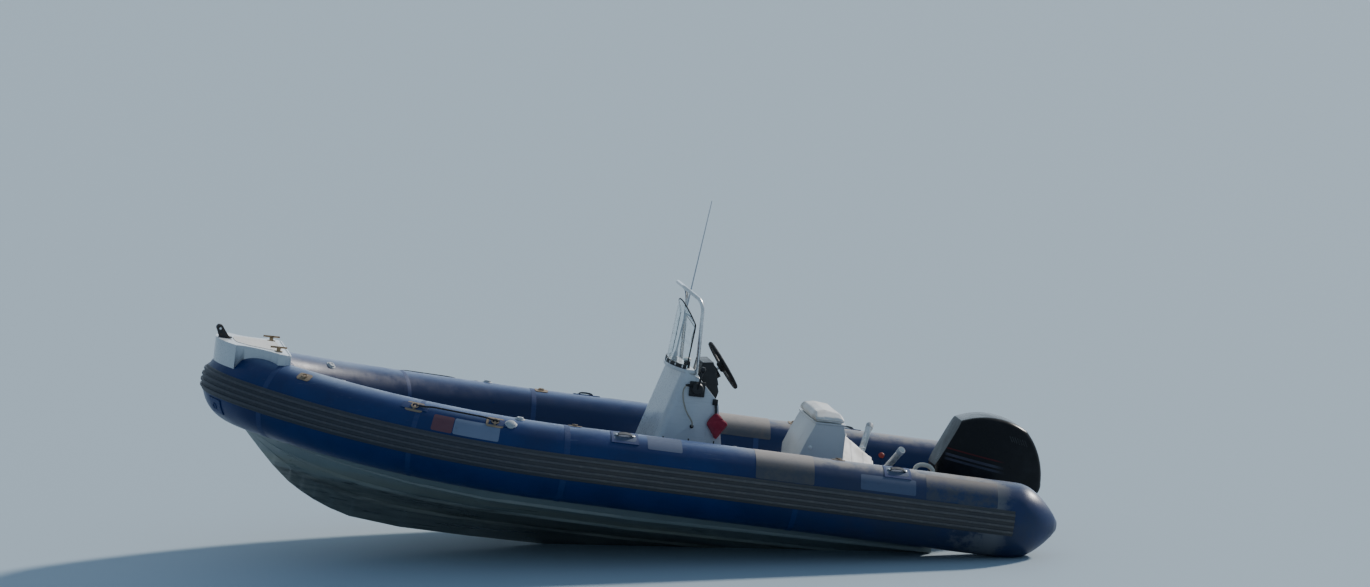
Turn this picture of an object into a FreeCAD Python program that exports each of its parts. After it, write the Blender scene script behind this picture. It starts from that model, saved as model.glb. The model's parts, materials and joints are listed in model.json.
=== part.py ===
import FreeCAD, Part
import math
import os

# Rigid inflatable boat with a centre console and one outboard engine.
# Millimetres. +X is forward, +Y is port, +Z is up, and the boat floats level.
# The origin is on the centreline at the waterline, transomToOrigin ahead of the transom.

V = FreeCAD.Vector
X, Y, Z = V(1, 0, 0), V(0, 1, 0), V(0, 0, 1)
ORIGIN = V(0, 0, 0)

# Clearances
seat = 0.3          # between a piece and the curved face that carries it
swing = 6.0         # between a moving piece and what it passes
fit = 0.05          # radial, between a pin and its bore

# Collar: the inflated tube that runs round the boat
tubeR = 250.0
tubeHalf = 950.0        # centreline of the boat to the axis of the tube
collarTipX = -2480.0    # tip of the tube's after cones
collarZ = 209.0         # height of the axis at that tip
collarRise = 1.65       # degrees that the whole collar rises forward
tipR = 35.0
coneLength = 300.0
foreBendX = 810.0       # where the tube leaves its straight run
foreTurn = 36.5         # degrees of the long forward bend
foreTilt = 10.0         # degrees that the plane of that bend is tipped up
noseBendR = 403.0       # bend radius round the nose
chamberSeamX = -700.0   # seam between the after chambers

# Rubbing strake
strakeBase = 8.0
strakeRib = 10.0
strakeLow, strakeHigh = -17.0, 20.0   # degrees round the tube, 0 is outboard
strakeRibs = 4
strakeEndX = -2150.0

# Hull
transomToOrigin = 1700.0
soleThick = 22.0
chineFlat = 50.0
railWidth = 42.0        # width of a spray rail's flat underside

# Transom
transomThick = 70.0
transomTop = 190.0
transomHalf = 760.0

# Console
consoleHalf = 400.0
consoleWall = 14.0
consoleBlend = 70.0
doorHalf, doorLow, doorHigh, doorThick = 210.0, 180.0, 560.0, 20.0
doorHingeX, doorHingeY = -302.0, -236.0
glandX, glandZ, glandR, glandThick = -75.0, 565.0, 14.0, 6.0
screenChord = 380.0
screenSag = 75.0
screenThick = 5.0
screenFoot, screenShoulder, screenTop = 935.0, 1232.0, 1360.0
stripHigh = 26.0         # height of the strip at the screen's foot
railTube = 12.5         # outer radius of the stainless rail

# Steering wheel
wheelTilt = 36.0        # degrees, the column rises aft at this angle
wheelX, wheelY, wheelZ = -325.0, -150.0, 930.0
wheelR, rimR, columnR = 180.0, 14.0, 10.0

# Seat
seatHalf = 350.0
seatWall = 14.0
seatHingeX = -1122.0
aftHalf = 345.0          # half width of the locker behind the seat
rodBoreR, rodWall, rodLength = 20.5, 2.5, 300.0

# Engine
tiltX, tiltZ, tiltPinR = -1745.0, 262.0, 15.0
tiltPinEnd = 146.0      # from the centreline to the end of the tilt pin
steerX, steerPostR = -1862.0, 30.0
bracketGap, bracketPlate = 92.0, 24.0     # half the gap between the plates, and their thickness
propZ, propR, propX, propHubR = -552.0, 150.0, -2075.0, 52.0
plateZ = -378.0         # top of the anti-ventilation plate
blades = 3


def spin(vector, axis, degrees):
    return FreeCAD.Rotation(axis, degrees).multVec(vector)


def side(shape):
    """The same piece on the starboard side."""
    return shape.mirror(ORIGIN, Y)


def polyFace(points):
    return Part.Face(Part.makePolygon(points + [points[0]]))


def slab(profile, halfWidth, plusWidth=None):
    """A side profile of (x, z) points, pulled across the boat."""
    far = halfWidth if plusWidth is None else plusWidth
    points = [V(x, -halfWidth, z) for x, z in profile]
    return polyFace(points).extrude(Y * (halfWidth + far))


def box(x0, x1, y0, y1, z0, z1):
    return Part.makeBox(x1 - x0, y1 - y0, z1 - z0, V(x0, y0, z0))


def biggest(shape):
    return max(shape.Solids, key=lambda solid: solid.Volume)


def rod(start, end, radius):
    way = end - start
    return Part.makeCylinder(radius, way.Length, start, way)


def pipe(points, bendR, radius):
    """A round tube along straight runs with a round bend at each corner."""
    runs = []
    last = points[0]
    for here, corner, there in zip(points, points[1:], points[2:]):
        before = (here - corner).normalize()
        after = (there - corner).normalize()
        half = before.getAngle(after) / 2
        back = bendR / math.tan(half)
        centre = corner + (before + after).normalize() * (bendR / math.sin(half))
        middle = centre + (corner - centre).normalize() * bendR
        start, end = corner + before * back, corner + after * back
        runs.append(Part.makeLine(last, start))
        runs.append(Part.Arc(start, middle, end).toShape())
        last = end
    runs.append(Part.makeLine(last, points[-1]))
    spine = Part.Wire(runs)
    mouth = Part.Wire(Part.makeCircle(radius, points[0], points[1] - points[0]))
    return spine.makePipeShell([mouth], True, False)


def lathe(profile, start, way):
    """A solid of revolution from (distance, radius) points along an axis."""
    way = V(way).normalize()
    across = way.cross(Y) if abs(way.dot(Y)) < 0.9 else way.cross(X)
    across.normalize()
    points = [start + way * d + across * r for d, r in profile]
    return polyFace(points).revolve(start, way, 360)


# The path of the collar, in three pieces: a straight run, the long bend and the nose bend
def collarPath():
    rise = FreeCAD.Rotation(-Y, collarRise)
    tilt = math.radians(foreTilt)
    turn = math.radians(foreTurn)
    tip = V(collarTipX, tubeHalf, collarZ)
    along, out, up = rise.multVec(X), V(Y), rise.multVec(Z)
    endTangent = V(math.cos(turn), -math.sin(turn) * math.cos(tilt), math.sin(turn) * math.sin(tilt))
    noseTurn = math.acos(-endTangent.y)
    noseSpan = noseBendR * math.sin(noseTurn)
    foreR = (tubeHalf - noseSpan) / ((1 - math.cos(turn)) * math.cos(tilt))
    length = (foreBendX - collarTipX) / math.cos(math.radians(collarRise))
    straight = dict(start=tip, along=along, out=out, up=up, length=length)
    start = tip + along * length
    inward = rise.multVec(V(0, -math.cos(tilt), math.sin(tilt)))
    axis = along.cross(inward)
    fore = dict(start=start, along=along, out=out, up=up, centre=start + inward * foreR,
                axis=axis, sweep=foreTurn)
    end = collarFrame(fore, foreTurn)
    turnAxis = end[1].cross(-Y).normalize()
    nose = dict(start=end[0], along=end[1], out=end[2], up=end[3],
                centre=end[0] + turnAxis.cross(end[1]) * noseBendR,
                axis=turnAxis, sweep=math.degrees(end[1].getAngle(-Y)))
    return straight, fore, nose


def collarFrame(piece, distance):
    """Point, tangent, outboard and up directions, distance along a piece in mm or degrees."""
    if "centre" not in piece:
        return piece["start"] + piece["along"] * distance, piece["along"], piece["out"], piece["up"]
    turn = FreeCAD.Rotation(piece["axis"], distance)
    point = piece["centre"] + turn.multVec(piece["start"] - piece["centre"])
    return (point, turn.multVec(piece["along"]), turn.multVec(piece["out"]), turn.multVec(piece["up"]))


straightRun, foreRun, noseRun = collarPath()


def onTube(frame, radius, degrees):
    point, along, out, up = frame
    angle = math.radians(degrees)
    return point + out * (radius * math.cos(angle)) + up * (radius * math.sin(angle))


def sweepFace(piece, face, start, end):
    if "centre" not in piece:
        return face.extrude(piece["along"] * (end - start))
    return face.revolve(piece["centre"], piece["axis"], end - start)


def tubePiece(piece, start, end, radius=tubeR):
    frame = collarFrame(piece, start)
    face = Part.Face(Part.Wire(Part.makeCircle(radius, frame[0], frame[1])))
    return sweepFace(piece, face, start, end)


def bandFace(frame, rings):
    """A section on the tube's skin from (radius, low degrees, high degrees) rings, inner ring first."""
    inner, low, high = rings[0]
    edges = [Part.Arc(onTube(frame, inner, high), onTube(frame, inner, (low + high) / 2),
                      onTube(frame, inner, low)).toShape()]
    last = onTube(frame, inner, low)
    for radius, a, b in rings[1:]:
        edges.append(Part.makeLine(last, onTube(frame, radius, a)))
        last = onTube(frame, radius, b)
        edges.append(Part.Arc(onTube(frame, radius, a), onTube(frame, radius, (a + b) / 2), last).toShape())
    edges.append(Part.makeLine(last, onTube(frame, inner, high)))
    return Part.Face(Part.Wire(edges))


def patch(piece, start, end, low, high, thick):
    rings = [(tubeR + seat, low, high), (tubeR + seat + thick, low, high)]
    return sweepFace(piece, bandFace(collarFrame(piece, start), rings), start, end)


def runAt(x):
    """Distance along the straight run at a place given by its x."""
    return (x - collarTipX) / math.cos(math.radians(collarRise))


def tubeChambers():
    seam = runAt(chamberSeamX)
    frame = collarFrame(straightRun, 0)
    tip = frame[0]
    skin = []
    coneMidR = (tubeR - tipR) * 0.62 + tipR
    a = tip + straightRun["up"] * tipR
    b = tip + straightRun["along"] * (coneLength * 0.45) + straightRun["up"] * coneMidR
    c = tip + straightRun["along"] * coneLength + straightRun["up"] * tubeR
    d = tip + straightRun["along"] * seam + straightRun["up"] * tubeR
    e = tip + straightRun["along"] * seam
    skin.append(Part.makeLine(tip, a))
    skin.append(Part.Arc(a, b, c).toShape())
    skin.append(Part.makeLine(c, d))
    skin.append(Part.makeLine(d, e))
    skin.append(Part.makeLine(e, tip))
    aft = Part.Face(Part.Wire(skin)).revolve(tip, straightRun["along"], 360)
    mid = tubePiece(straightRun, seam, straightRun["length"])
    fore = tubePiece(foreRun, 0, foreRun["sweep"])
    return aft, mid, fore


def strakeRings():
    inner = tubeR + seat
    low, high = inner + strakeBase, inner + strakeBase + strakeRib
    step = (strakeHigh - strakeLow) / (2 * strakeRibs + 1)
    rings = [(inner, strakeLow, strakeHigh)]
    for i in range(2 * strakeRibs + 1):
        radius = high if i % 2 else low
        rings.append((radius, strakeLow + i * step, strakeLow + (i + 1) * step))
    return rings


def strake(piece, start, end):
    return sweepFace(piece, bandFace(collarFrame(piece, start), strakeRings()), start, end)


collarCut = []
for hand in (lambda shape: shape, side):
    collarCut.append(hand(tubePiece(straightRun, 0, straightRun["length"], tubeR + seat)))
    collarCut.append(hand(tubePiece(foreRun, 0, foreRun["sweep"], tubeR + seat)))
    collarCut.append(hand(tubePiece(noseRun, 0, noseRun["sweep"], tubeR + seat)))

noseTip = collarFrame(noseRun, noseRun["sweep"])[0]

# Places in the bow are drawn for a bow of this length, rise and half width, and follow the collar's sizes
drawnLength, drawnRise, drawnHalf = 2080.6, 191.2, 950.0


def bowX(x):
    return x if x < foreBendX else foreBendX + (x - foreBendX) * (noseTip.x - foreBendX) / drawnLength


def bowZ(x, z):
    ahead = max(0, (x - foreBendX) / drawnLength)
    return z + ahead * (noseTip.z - foreRun["start"].z - drawnRise)


def across(y):
    return y * tubeHalf / drawnHalf


# Hull stations from the transom to the stem
hullDrawn = [
    # x, keel z, chine y, chine z, top z, spray rail width as a share
    (-transomToOrigin, -370, 800, -70, 30, 1.0),
    (300, -370, 800, -45, 30, 1.0),
    (1260, -360, 775, -10, 32, 1.0),
    (1740, -345, 670, 30, 52, 0.9),
    (2080, -305, 545, 75, 92, 0.8),
    (2215, -263, 482, 95, 113, 0.7),
    (2330, -215, 420, 115, 135, 0.6),
    (2420, -167, 369, 134, 154, 0.5),
    (2510, -110, 315, 155, 175, 0.4),
    (2620, -16, 246, 181, 199, 0.3),
    (2720, 85, 170, 205, 222, 0.2),
    (2850, 225, 40, 242, 250, 0.1),
]
hullStations = [(bowX(x), bowZ(x, keelZ), across(chineY), bowZ(x, chineZ), bowZ(x, topZ), railShare)
                for x, keelZ, chineY, chineZ, topZ, railShare in hullDrawn]
railShares = (0.40, 0.70)


def hullSection(x, keelZ, chineY, chineZ, topZ, railShare):
    half = [(0, keelZ)]
    flatY = chineY - chineFlat * min(1, chineY / 400)
    slope = (chineZ - keelZ) / flatY
    for share in railShares:
        y = share * flatY
        width = railWidth * railShare * min(1, chineY / 400)
        half.append((y, keelZ + slope * y))
        half.append((y + width, keelZ + slope * y))
        half.append((y + width + 1, keelZ + slope * (y + width + 1)))
    half += [(flatY, chineZ - 1), (chineY, chineZ), (chineY, topZ)]
    left = [V(x, y, z) for y, z in half]
    right = [V(x, -y, z) for y, z in half[:0:-1]]
    return Part.makePolygon(left + right + [left[0]])


def makeHull():
    body = Part.makeLoft([hullSection(*row) for row in hullStations], True, True)
    return body.cut(collarCut)


def soleSection(x, chineY, topZ):
    low, high = topZ, topZ + soleThick
    points = [V(x, -chineY, low), V(x, chineY, low), V(x, chineY, high), V(x, -chineY, high)]
    return Part.makePolygon(points + [points[0]])


def makeSole():
    rows = [(x, chineY, topZ) for x, keelZ, chineY, chineZ, topZ, rail in hullStations]
    rows[0] = (rows[0][0] + transomThick, rows[0][1], rows[0][2])
    body = Part.makeLoft([soleSection(*row) for row in rows[:9]], True, True)
    return biggest(body.cut(collarCut))


soleTop = hullStations[0][4] + soleThick


def makeTransom():
    x0 = -transomToOrigin
    half = across(transomHalf)
    board = box(x0, x0 + transomThick, -half, half, hullStations[0][4], transomTop)
    knees = []
    for y in (-430, 400):
        foot = x0 + transomThick
        profile = [(foot, soleTop), (foot + 190, soleTop), (foot, transomTop - 10)]
        knees.append(slab(profile, 0, 30).translate(V(0, y, 0)))
    return board.fuse(knees).cut(collarCut).removeSplitter()


# Bow moulding, locker and fairlead
bowTopFront = noseTip.z + tubeR + 60
bowTopAft = bowTopFront - 37
bowFrontX = noseTip.x + 194.5
bowAftX, bowAftHalf = bowFrontX - 465, 440.0
apronTurn, apronReach = 35.0, 198.0     # half angle round the nose, and reach beyond the tube's axis


def makeBowMoulding():
    """A cap over the nose, whose front wraps down the tube to the strake."""
    noseX, reach, turn = noseTip.x - noseBendR, noseBendR + apronReach, math.radians(apronTurn)
    low = bowTopFront - 245
    end = V(noseX + reach * math.cos(turn), reach * math.sin(turn), low)
    waist = [V(bowFrontX - 160, 306, low), V(bowFrontX - 265, 326, low), V(bowFrontX - 385, bowAftHalf - 4, low)]
    aft = [waist[2], V(bowAftX + 35, bowAftHalf, low), V(bowAftX, bowAftHalf - 30, low)]
    half = [Part.makeLine(end, waist[0]), Part.Arc(*waist).toShape(), Part.makeLine(aft[0], aft[1]),
            Part.makeLine(aft[1], aft[2])]
    flip = lambda point: V(point.x, -point.y, point.z)
    front = Part.Arc(flip(end), V(noseX + reach, 0, low), end).toShape()
    edges = [front, Part.makeLine(aft[2], flip(aft[2]))] + half + [side(edge) for edge in half]
    body = Part.Face(Part.Wire(Part.__sortEdges__(edges))).extrude(Z * 300)
    slope = (bowTopFront - bowTopAft) / (bowFrontX - bowAftX)
    cutTop = slab([(bowAftX - 50, bowTopAft - 50 * slope), (bowFrontX + 50, bowTopFront + 50 * slope),
                   (bowFrontX + 50, 1000), (bowAftX - 50, 1000)], 700)
    body = body.cut(cutTop).cut(collarCut)
    return biggest(body)


lockerAftX, lockerHalf, lockerTop, lockerWall = bowX(2050), across(215), bowZ(2440, 470), 14.0
lidFrontX, lidThick, hingeR = bowX(2440), 22.0, 6.0
lidHingeX = lidFrontX + hingeR
bulkheadX = lidHingeX + hingeR + swing


def makeBowLocker():
    outer = box(lockerAftX, bulkheadX + lockerWall, -lockerHalf, lockerHalf, 60, lockerTop)
    inner = box(lockerAftX + lockerWall, bulkheadX, lockerWall - lockerHalf, lockerHalf - lockerWall,
                50, lockerTop + 10)
    low = lockerTop - 6
    slope = [(bulkheadX, 100), (bulkheadX + lockerWall, 100), (bulkheadX + lockerWall, low),
             (bowAftX + 10, bowTopAft - 78), (bowAftX + 10, bowTopAft - 60), (bulkheadX, low + 16)]
    sections = []
    for x, keelZ, chineY, chineZ, topZ, rail in hullStations[3:11]:
        top = topZ + soleThick
        points = [V(x, -900, -400), V(x, 900, -400), V(x, 900, top), V(x, -900, top)]
        sections.append(Part.makePolygon(points + [points[0]]))
    below = Part.makeLoft(sections, True, True)
    shell = outer.cut(inner).fuse(slab(slope, across(330))).cut([below] + collarCut).cut(makeBowMoulding())
    return biggest(shell)


def makeBowLid():
    z = lockerTop + seat
    barrel = Part.makeCylinder(hingeR, 300, V(lidHingeX, -150, z + lidThick / 2), Y)
    leaf = box(lidFrontX - 5, lidHingeX, -150, 150, z + lidThick / 2 - 3, z + lidThick / 2 + 3)
    return box(lockerAftX - 10, lidFrontX, -lockerHalf + 5, lockerHalf - 5, z, z + lidThick).fuse([barrel, leaf])


rollerX, rollerZ = bowFrontX - 17, bowTopFront + 56
rollerR, rollerHalf, rollerPin = 24.0, 34.0, 6.0


def makeRollerBracket():
    top = bowTopFront + 2
    cheek = slab([(bowFrontX - 85, top), (bowFrontX - 15, top), (rollerX + 25, rollerZ + 5),
                  (rollerX + 13, rollerZ + 22), (rollerX - 20, rollerZ + 10)], 0, 5)
    cheeks = [cheek.translated(V(0, rollerHalf + 2, 0)), cheek.translated(V(0, -rollerHalf - 7, 0))]
    foot = box(bowFrontX - 100, bowFrontX - 15, -rollerHalf - 7, rollerHalf + 7, top - 4, top + 3)
    pin = Part.makeCylinder(rollerPin, 2 * rollerHalf + 14, V(rollerX, -rollerHalf - 7, rollerZ), Y)
    return cheeks[0].fuse([cheeks[1], foot, pin]).cut(makeBowMoulding())


def makeRoller():
    profile = [(0, rollerPin + fit), (0, rollerR), (rollerHalf, rollerR - 8), (2 * rollerHalf, rollerR),
               (2 * rollerHalf, rollerPin + fit)]
    return lathe(profile, V(rollerX, -rollerHalf, rollerZ), Y)


# Console
consoleProfile = [(290, soleTop), (170, 440), (20, 930), (-100, 880), (-226, 752), (-240, 720),
                  (-290, 440), (-290, soleTop)]


def blendFront(solid, radius):
    """Rounds the upright front corners of the console."""
    edges = [e for e in solid.Edges
             if abs(e.Vertexes[0].Y - e.Vertexes[-1].Y) < 1 and min(v.X for v in e.Vertexes) > 0
             and abs(e.Vertexes[0].Z - e.Vertexes[-1].Z) > 100]
    return solid.makeFillet(radius, edges)


def makeConsole():
    outer = blendFront(slab(consoleProfile, consoleHalf), consoleBlend)
    ring = polyFace([V(x, 0, z) for x, z in consoleProfile]).makeOffset2D(-consoleWall)
    inner = ring.translated(V(0, consoleWall - consoleHalf, 0)).extrude(Y * 2 * (consoleHalf - consoleWall))
    inner = blendFront(inner, consoleBlend - consoleWall)
    foot = box(-290 + consoleWall, 190, consoleWall - consoleHalf, consoleHalf - consoleWall,
               soleTop - 20, soleTop + 20)
    doorway = slab([(-320, doorLow), (-320, doorHigh), (-200, doorHigh), (-200, doorLow)], doorHalf)
    boss = Part.makeCylinder(glandR, glandThick, V(glandX, consoleHalf, glandZ), Y)
    return outer.fuse(boss).cut([inner, foot, doorway]).removeSplitter()


def makeConsoleDoor():
    x = -290
    lean = (290 - 240) / (720 - 440)
    slopeX = lambda z: x if z <= 440 else x + (z - 440) * lean
    grow = 18
    low, high = doorLow - grow, doorHigh + grow
    profile = [(slopeX(low) - seat, low), (slopeX(440) - seat, 440), (slopeX(high) - seat, high),
               (slopeX(high) - doorThick, high), (slopeX(440) - doorThick, 440), (x - doorThick, low)]
    barrel = Part.makeCylinder(6, 440 - doorLow - 20, V(doorHingeX, doorHingeY, doorLow + 10), Z)
    arm = box(doorHingeX - 4, doorHingeX + 4, doorHingeY, -doorHalf - grow + 5, doorLow + 10, 430)
    return slab(profile, doorHalf + grow).fuse([barrel, arm])


def makeWindscreen():
    curve = (screenChord ** 2 + screenSag ** 2) / (2 * screenSag)
    front = 75.0

    def sheet(outer, thick, low, high):
        centre = V(front - curve, 0, low)
        ring = Part.makeCylinder(outer, high - low, centre, Z)
        ring = ring.cut(Part.makeCylinder(outer - thick, high - low, centre, Z))
        return ring.common(box(front - screenSag - 60, front + 50, -500, 500, low, high))
    screen = sheet(curve, screenThick, screenFoot, screenTop)
    half = screenChord - 5
    corner = [V(-300, -half, screenFoot), V(-300, half, screenFoot), V(-300, half, screenShoulder)]
    arch = Part.Arc(corner[2], V(-300, 0, screenTop), V(-300, -half, screenShoulder)).toShape()
    outline = Part.Wire([Part.makeLine(corner[0], corner[1]), Part.makeLine(corner[1], corner[2]), arch,
                         Part.makeLine(V(-300, -half, screenShoulder), corner[0])])
    window = Part.Face(outline).extrude(X * 600)
    lean = FreeCAD.Matrix()
    lean.A13 = -0.10
    lean.A14 = 0.10 * screenFoot
    screen = screen.common(window).transformGeometry(lean)
    strip = sheet(curve + seat + 7, 7, screenFoot, screenFoot + stripHigh)
    strip = strip.common(box(-400, 400, -half, half, 0, 3000)).transformGeometry(lean)
    return screen, strip


# The shelf that carries the windscreen follows its foot in front of the console's top edge
def makeScreenShelf():
    curve = (screenChord ** 2 + screenSag ** 2) / (2 * screenSag)
    front = 75.0
    low, high = screenFoot - 22, screenFoot
    disc = Part.makeCylinder(curve + 14, high - low, V(front - curve, 0, low), Z)
    return disc.common(box(-60, front + 60, -screenChord, screenChord, low, high))


def makeGrabRail():
    """Upright legs, and a top bar that bows forward over the windscreen."""
    half = screenChord - 2
    leg, corner, crown = (-72, half, 860), (-64, half, 1388), (45, 0.42 * half, 1460)
    points = [V(*leg), V(*corner), V(*crown)]
    points += [V(p.x, -p.y, p.z) for p in reversed(points)]
    return pipe(points, 100, railTube)


wheelAxis = V(-math.cos(math.radians(wheelTilt)), 0, math.sin(math.radians(wheelTilt)))
wheelCentre = V(wheelX, wheelY, wheelZ)


def makeHelm():
    base = Part.makeCylinder(58, 190, wheelCentre - wheelAxis * 240, wheelAxis)
    bore = Part.makeCylinder(columnR + fit, 80, wheelCentre - wheelAxis * 120, wheelAxis)
    return base.cut(bore)


def makeWheel():
    rim = Part.makeTorus(wheelR - rimR, rimR, wheelCentre, wheelAxis)
    hub = Part.makeCylinder(38, 46, wheelCentre - wheelAxis * 34, wheelAxis)
    column = Part.makeCylinder(columnR, 60, wheelCentre - wheelAxis * 90, wheelAxis)
    spokes = []
    for k in range(3):
        way = spin(V(0, 1, 0), wheelAxis, 90 + 120 * k)
        spokes.append(rod(wheelCentre - wheelAxis * 12 + way * 20, wheelCentre + way * (wheelR - rimR), 9))
    return rim.fuse([hub, column] + spokes)


def makeAntenna():
    base = V(30, 0, screenFoot + seat)
    way = V(-128, 0, 1100)
    profile = [(0, 0), (0, 16), (60, 14), (90, 6), (way.Length, 2.5), (way.Length, 0)]
    return lathe(profile, base, way)


# Seat with a lidded locker, and the sloped locker behind it
seatProfile = [(-820, soleTop), (-820, 430), (-865, 545), (-915, 655), (-1105, 655), (-1120, 590),
               (-1120, soleTop)]


def makeSeatBox():
    outer = slab(seatProfile, seatHalf)
    wire = Part.makePolygon([V(x, 0, z) for x, z in seatProfile + seatProfile[:1]])
    ring = Part.Face(wire).makeOffset2D(-seatWall)
    inner = ring.translated(V(0, seatWall - seatHalf, 0)).extrude(Y * 2 * (seatHalf - seatWall))
    mouth = box(-1090, -935, seatWall - seatHalf, seatHalf - seatWall, 600, 700)
    foot = box(-1120 + seatWall, -820 - seatWall, seatWall - seatHalf, seatHalf - seatWall,
               soleTop - 20, soleTop + 20)
    return outer.cut([inner, mouth, foot])


def makeSeatLid():
    axisZ = 655 + seat + 6
    barrel = Part.makeCylinder(5, 2 * seatHalf - 60, V(seatHingeX, 30 - seatHalf, axisZ), Y)
    leaf = box(seatHingeX, -1105, 30 - seatHalf, seatHalf - 30, axisZ - 3, axisZ + 3)
    return box(-1112, -908, -seatHalf, seatHalf, 655 + seat, 667 + seat).fuse([barrel, leaf])


def makeSeatCushion():
    """A domed cushion whose ends slope down to the lid."""
    low, high, half = 667 + 2 * seat, 742, seatHalf - 5
    profile = [(-905, low), (-1112, low), (-1116, 690), (-1085, 726), (-980, high), (-915, 728), (-896, 700)]
    ends = [(-half, low), (-half, low + 18), (90 - half, high), (half - 90, high), (half, low + 18), (half, low)]
    return slab(profile, half).common(polyFace([V(-1200, y, z) for y, z in ends]).extrude(X * 400))


# The locker behind the seat is roofed, and its ridge and eaves fall toward the stern
roofFrontX, roofRearX, roofPad = -1120 - seat, -1390.0, 24.0
roofFront, roofRear = (585.0, 310.0), (405.0, 130.0)     # height of ridge and eave


def roofSection(x, rows):
    """A closed outline across the boat, from (share of the half width, lift over the roof or None for the sole)."""
    share = (x - roofFrontX) / (roofRearX - roofFrontX)
    ridge, eave = [front + (rear - front) * share for front, rear in zip(roofFront, roofRear)]
    points = [V(x, y * aftHalf, soleTop if lift is None else ridge + (eave - ridge) * abs(y) + lift)
              for y, lift in rows]
    return Part.makePolygon(points + points[:1])


def makeAftLocker():
    rows = [(-1, None), (1, None), (1, 0), (0, 0), (-1, 0)]
    return Part.makeLoft([roofSection(roofFrontX, rows), roofSection(roofRearX, rows)], True, True)


def makeAftPad():
    """The pad that lies over both slopes of the roof."""
    rows = [(-0.98, seat), (-0.98, roofPad), (0, roofPad), (0.98, roofPad), (0.98, seat), (0, seat)]
    return Part.makeLoft([roofSection(roofFrontX - 3, rows), roofSection(roofRearX + 4, rows)], True, True)


def makeRodHolder():
    """An inclined socket on a post that stands on the sole."""
    low, high = V(-1372, 430, 372), V(-1459, 640, 580)
    way = (high - low).normalize()
    tube = Part.makeCylinder(rodBoreR + rodWall, rodLength, low, way)
    bore = Part.makeCylinder(rodBoreR, rodLength, low + way * 14, way)
    foot = Part.makeCylinder(42, 6, V(low.x, low.y, soleTop + seat), Z)
    post = Part.makeCylinder(15, 330, V(low.x, low.y, soleTop + seat), Z)
    return tube.fuse([post, foot]).cut(bore)


# Engine
def makeTransomBracket():
    x0 = -transomToOrigin
    hook = [(x0 - 0, transomTop + 3), (x0 + transomThick + 3, transomTop + 3), (x0 + transomThick + 3, 60),
            (x0 + transomThick + 25, 60), (x0 + transomThick + 25, transomTop + 40),
            (x0 - 20, tiltZ + 30), (tiltX - 25, tiltZ + 25), (tiltX - 32, tiltZ - 20), (x0 - 30, -170),
            (x0 - 0.3, -170)]
    plates = []
    for y in (bracketGap, -bracketGap - bracketPlate):
        plates.append(slab(hook, 0, bracketPlate).translated(V(0, y, 0)))
    pin = Part.makeCylinder(tiltPinR, 2 * tiltPinEnd, V(tiltX, -tiltPinEnd, tiltZ), Y)
    tie = box(x0 - 26, x0 - 0.3, -bracketGap, bracketGap, -170, -145)
    return plates[0].fuse([plates[1], pin, tie])


swivelLow, swivelHigh = -90.0, 190.0
yokeR, yokeThick = 45.0, 24.0


def makeSwivel():
    barrel = Part.makeCylinder(50, swivelHigh - swivelLow, V(steerX, 0, swivelLow), Z)
    web = slab([(tiltX + 20, tiltZ + 20), (tiltX - 25, tiltZ + 22), (steerX + yokeR + swing, swivelHigh),
                (steerX - 20, swivelHigh), (steerX - 20, 60), (tiltX - 20, tiltZ - 60), (tiltX + 18, tiltZ - 25)], 34)
    knuckle = Part.makeCylinder(32, 2 * bracketGap - 24, V(tiltX, 12 - bracketGap, tiltZ), Y)
    bore = Part.makeCylinder(steerPostR + fit, 900, V(steerX, 0, -400), Z)
    pinBore = Part.makeCylinder(tiltPinR + fit, 600, V(tiltX, -300, tiltZ), Y)
    return barrel.fuse([web, knuckle]).cut([bore, pinBore])


legTop = 240.0
cowlFoot = [(-2440, 262), (-1900, 345)]     # (x, z) along the cowl's lower edge


def makeEngineLeg():
    post = Part.makeCylinder(steerPostR, swivelHigh - swivelLow + 60, V(steerX, 0, swivelLow - 30), Z)
    yokes = []
    for z in (swivelHigh + swing, swivelLow - swing - yokeThick):
        yokes.append(Part.makeCylinder(yokeR, yokeThick, V(steerX, 0, z), Z))
        yokes.append(box(steerX - 130, steerX, -yokeR, yokeR, z, z + yokeThick))

    def oval(z, front, back, half):
        mid = (front + back) / 2
        arcs = [Part.Arc(V(front, 0, z), V(mid, half, z), V(back, 0, z)).toShape(),
                Part.Arc(V(back, 0, z), V(mid, -half, z), V(front, 0, z)).toShape()]
        return Part.Wire(arcs)
    middle = Part.makeLoft([oval(legTop, -1925, -2200, 95), oval(60, -1925, -2170, 75),
                            oval(plateZ, -1890, -2130, 45)], True, True)
    strut = Part.makeLoft([oval(plateZ + 2, -1860, -2082, 36), oval(propZ, -1850, -2070, 30)], True, True)
    bulletProfile = [(0, 0), (30, 26), (90, 46), (170, 56), (260, 56), (330, propHubR), (330, 0)]
    noseX = propX + 335
    bullet = lathe(bulletProfile, V(noseX, 0, propZ), -X)
    plate = slab([(-1800, plateZ - 14), (-1800, plateZ), (-2290, plateZ), (-2290, plateZ - 8)], 110)
    skeg = slab([(-1870, propZ - 30), (-2030, propZ - 30), (-2075, propZ - 228), (-2010, propZ - 232)], 7)
    bore = Part.makeCylinder(12 + fit, 200, V(noseX - 336, 0, propZ), X)
    leg = post.fuse(yokes + [middle, strut, bullet, plate, skeg]).cut(bore)
    return leg


cowlHalf, cowlBlend = 205.0, 48.0


def arc(a, b, c):
    return Part.Arc(a, b, c).toShape()


def cowlPlan(z, front, half, rear):
    foreX, aftX, midX = -1770, -2545, -2110
    corners = [V(foreX, -front, z), V(foreX, front, z), V(aftX, rear, z), V(aftX, -rear, z)]
    return Part.Wire([Part.makeLine(corners[0], corners[1]), arc(corners[1], V(midX, half, z), corners[2]),
                      Part.makeLine(corners[2], corners[3]), arc(corners[3], V(midX, -half, z), corners[0])])


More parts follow.
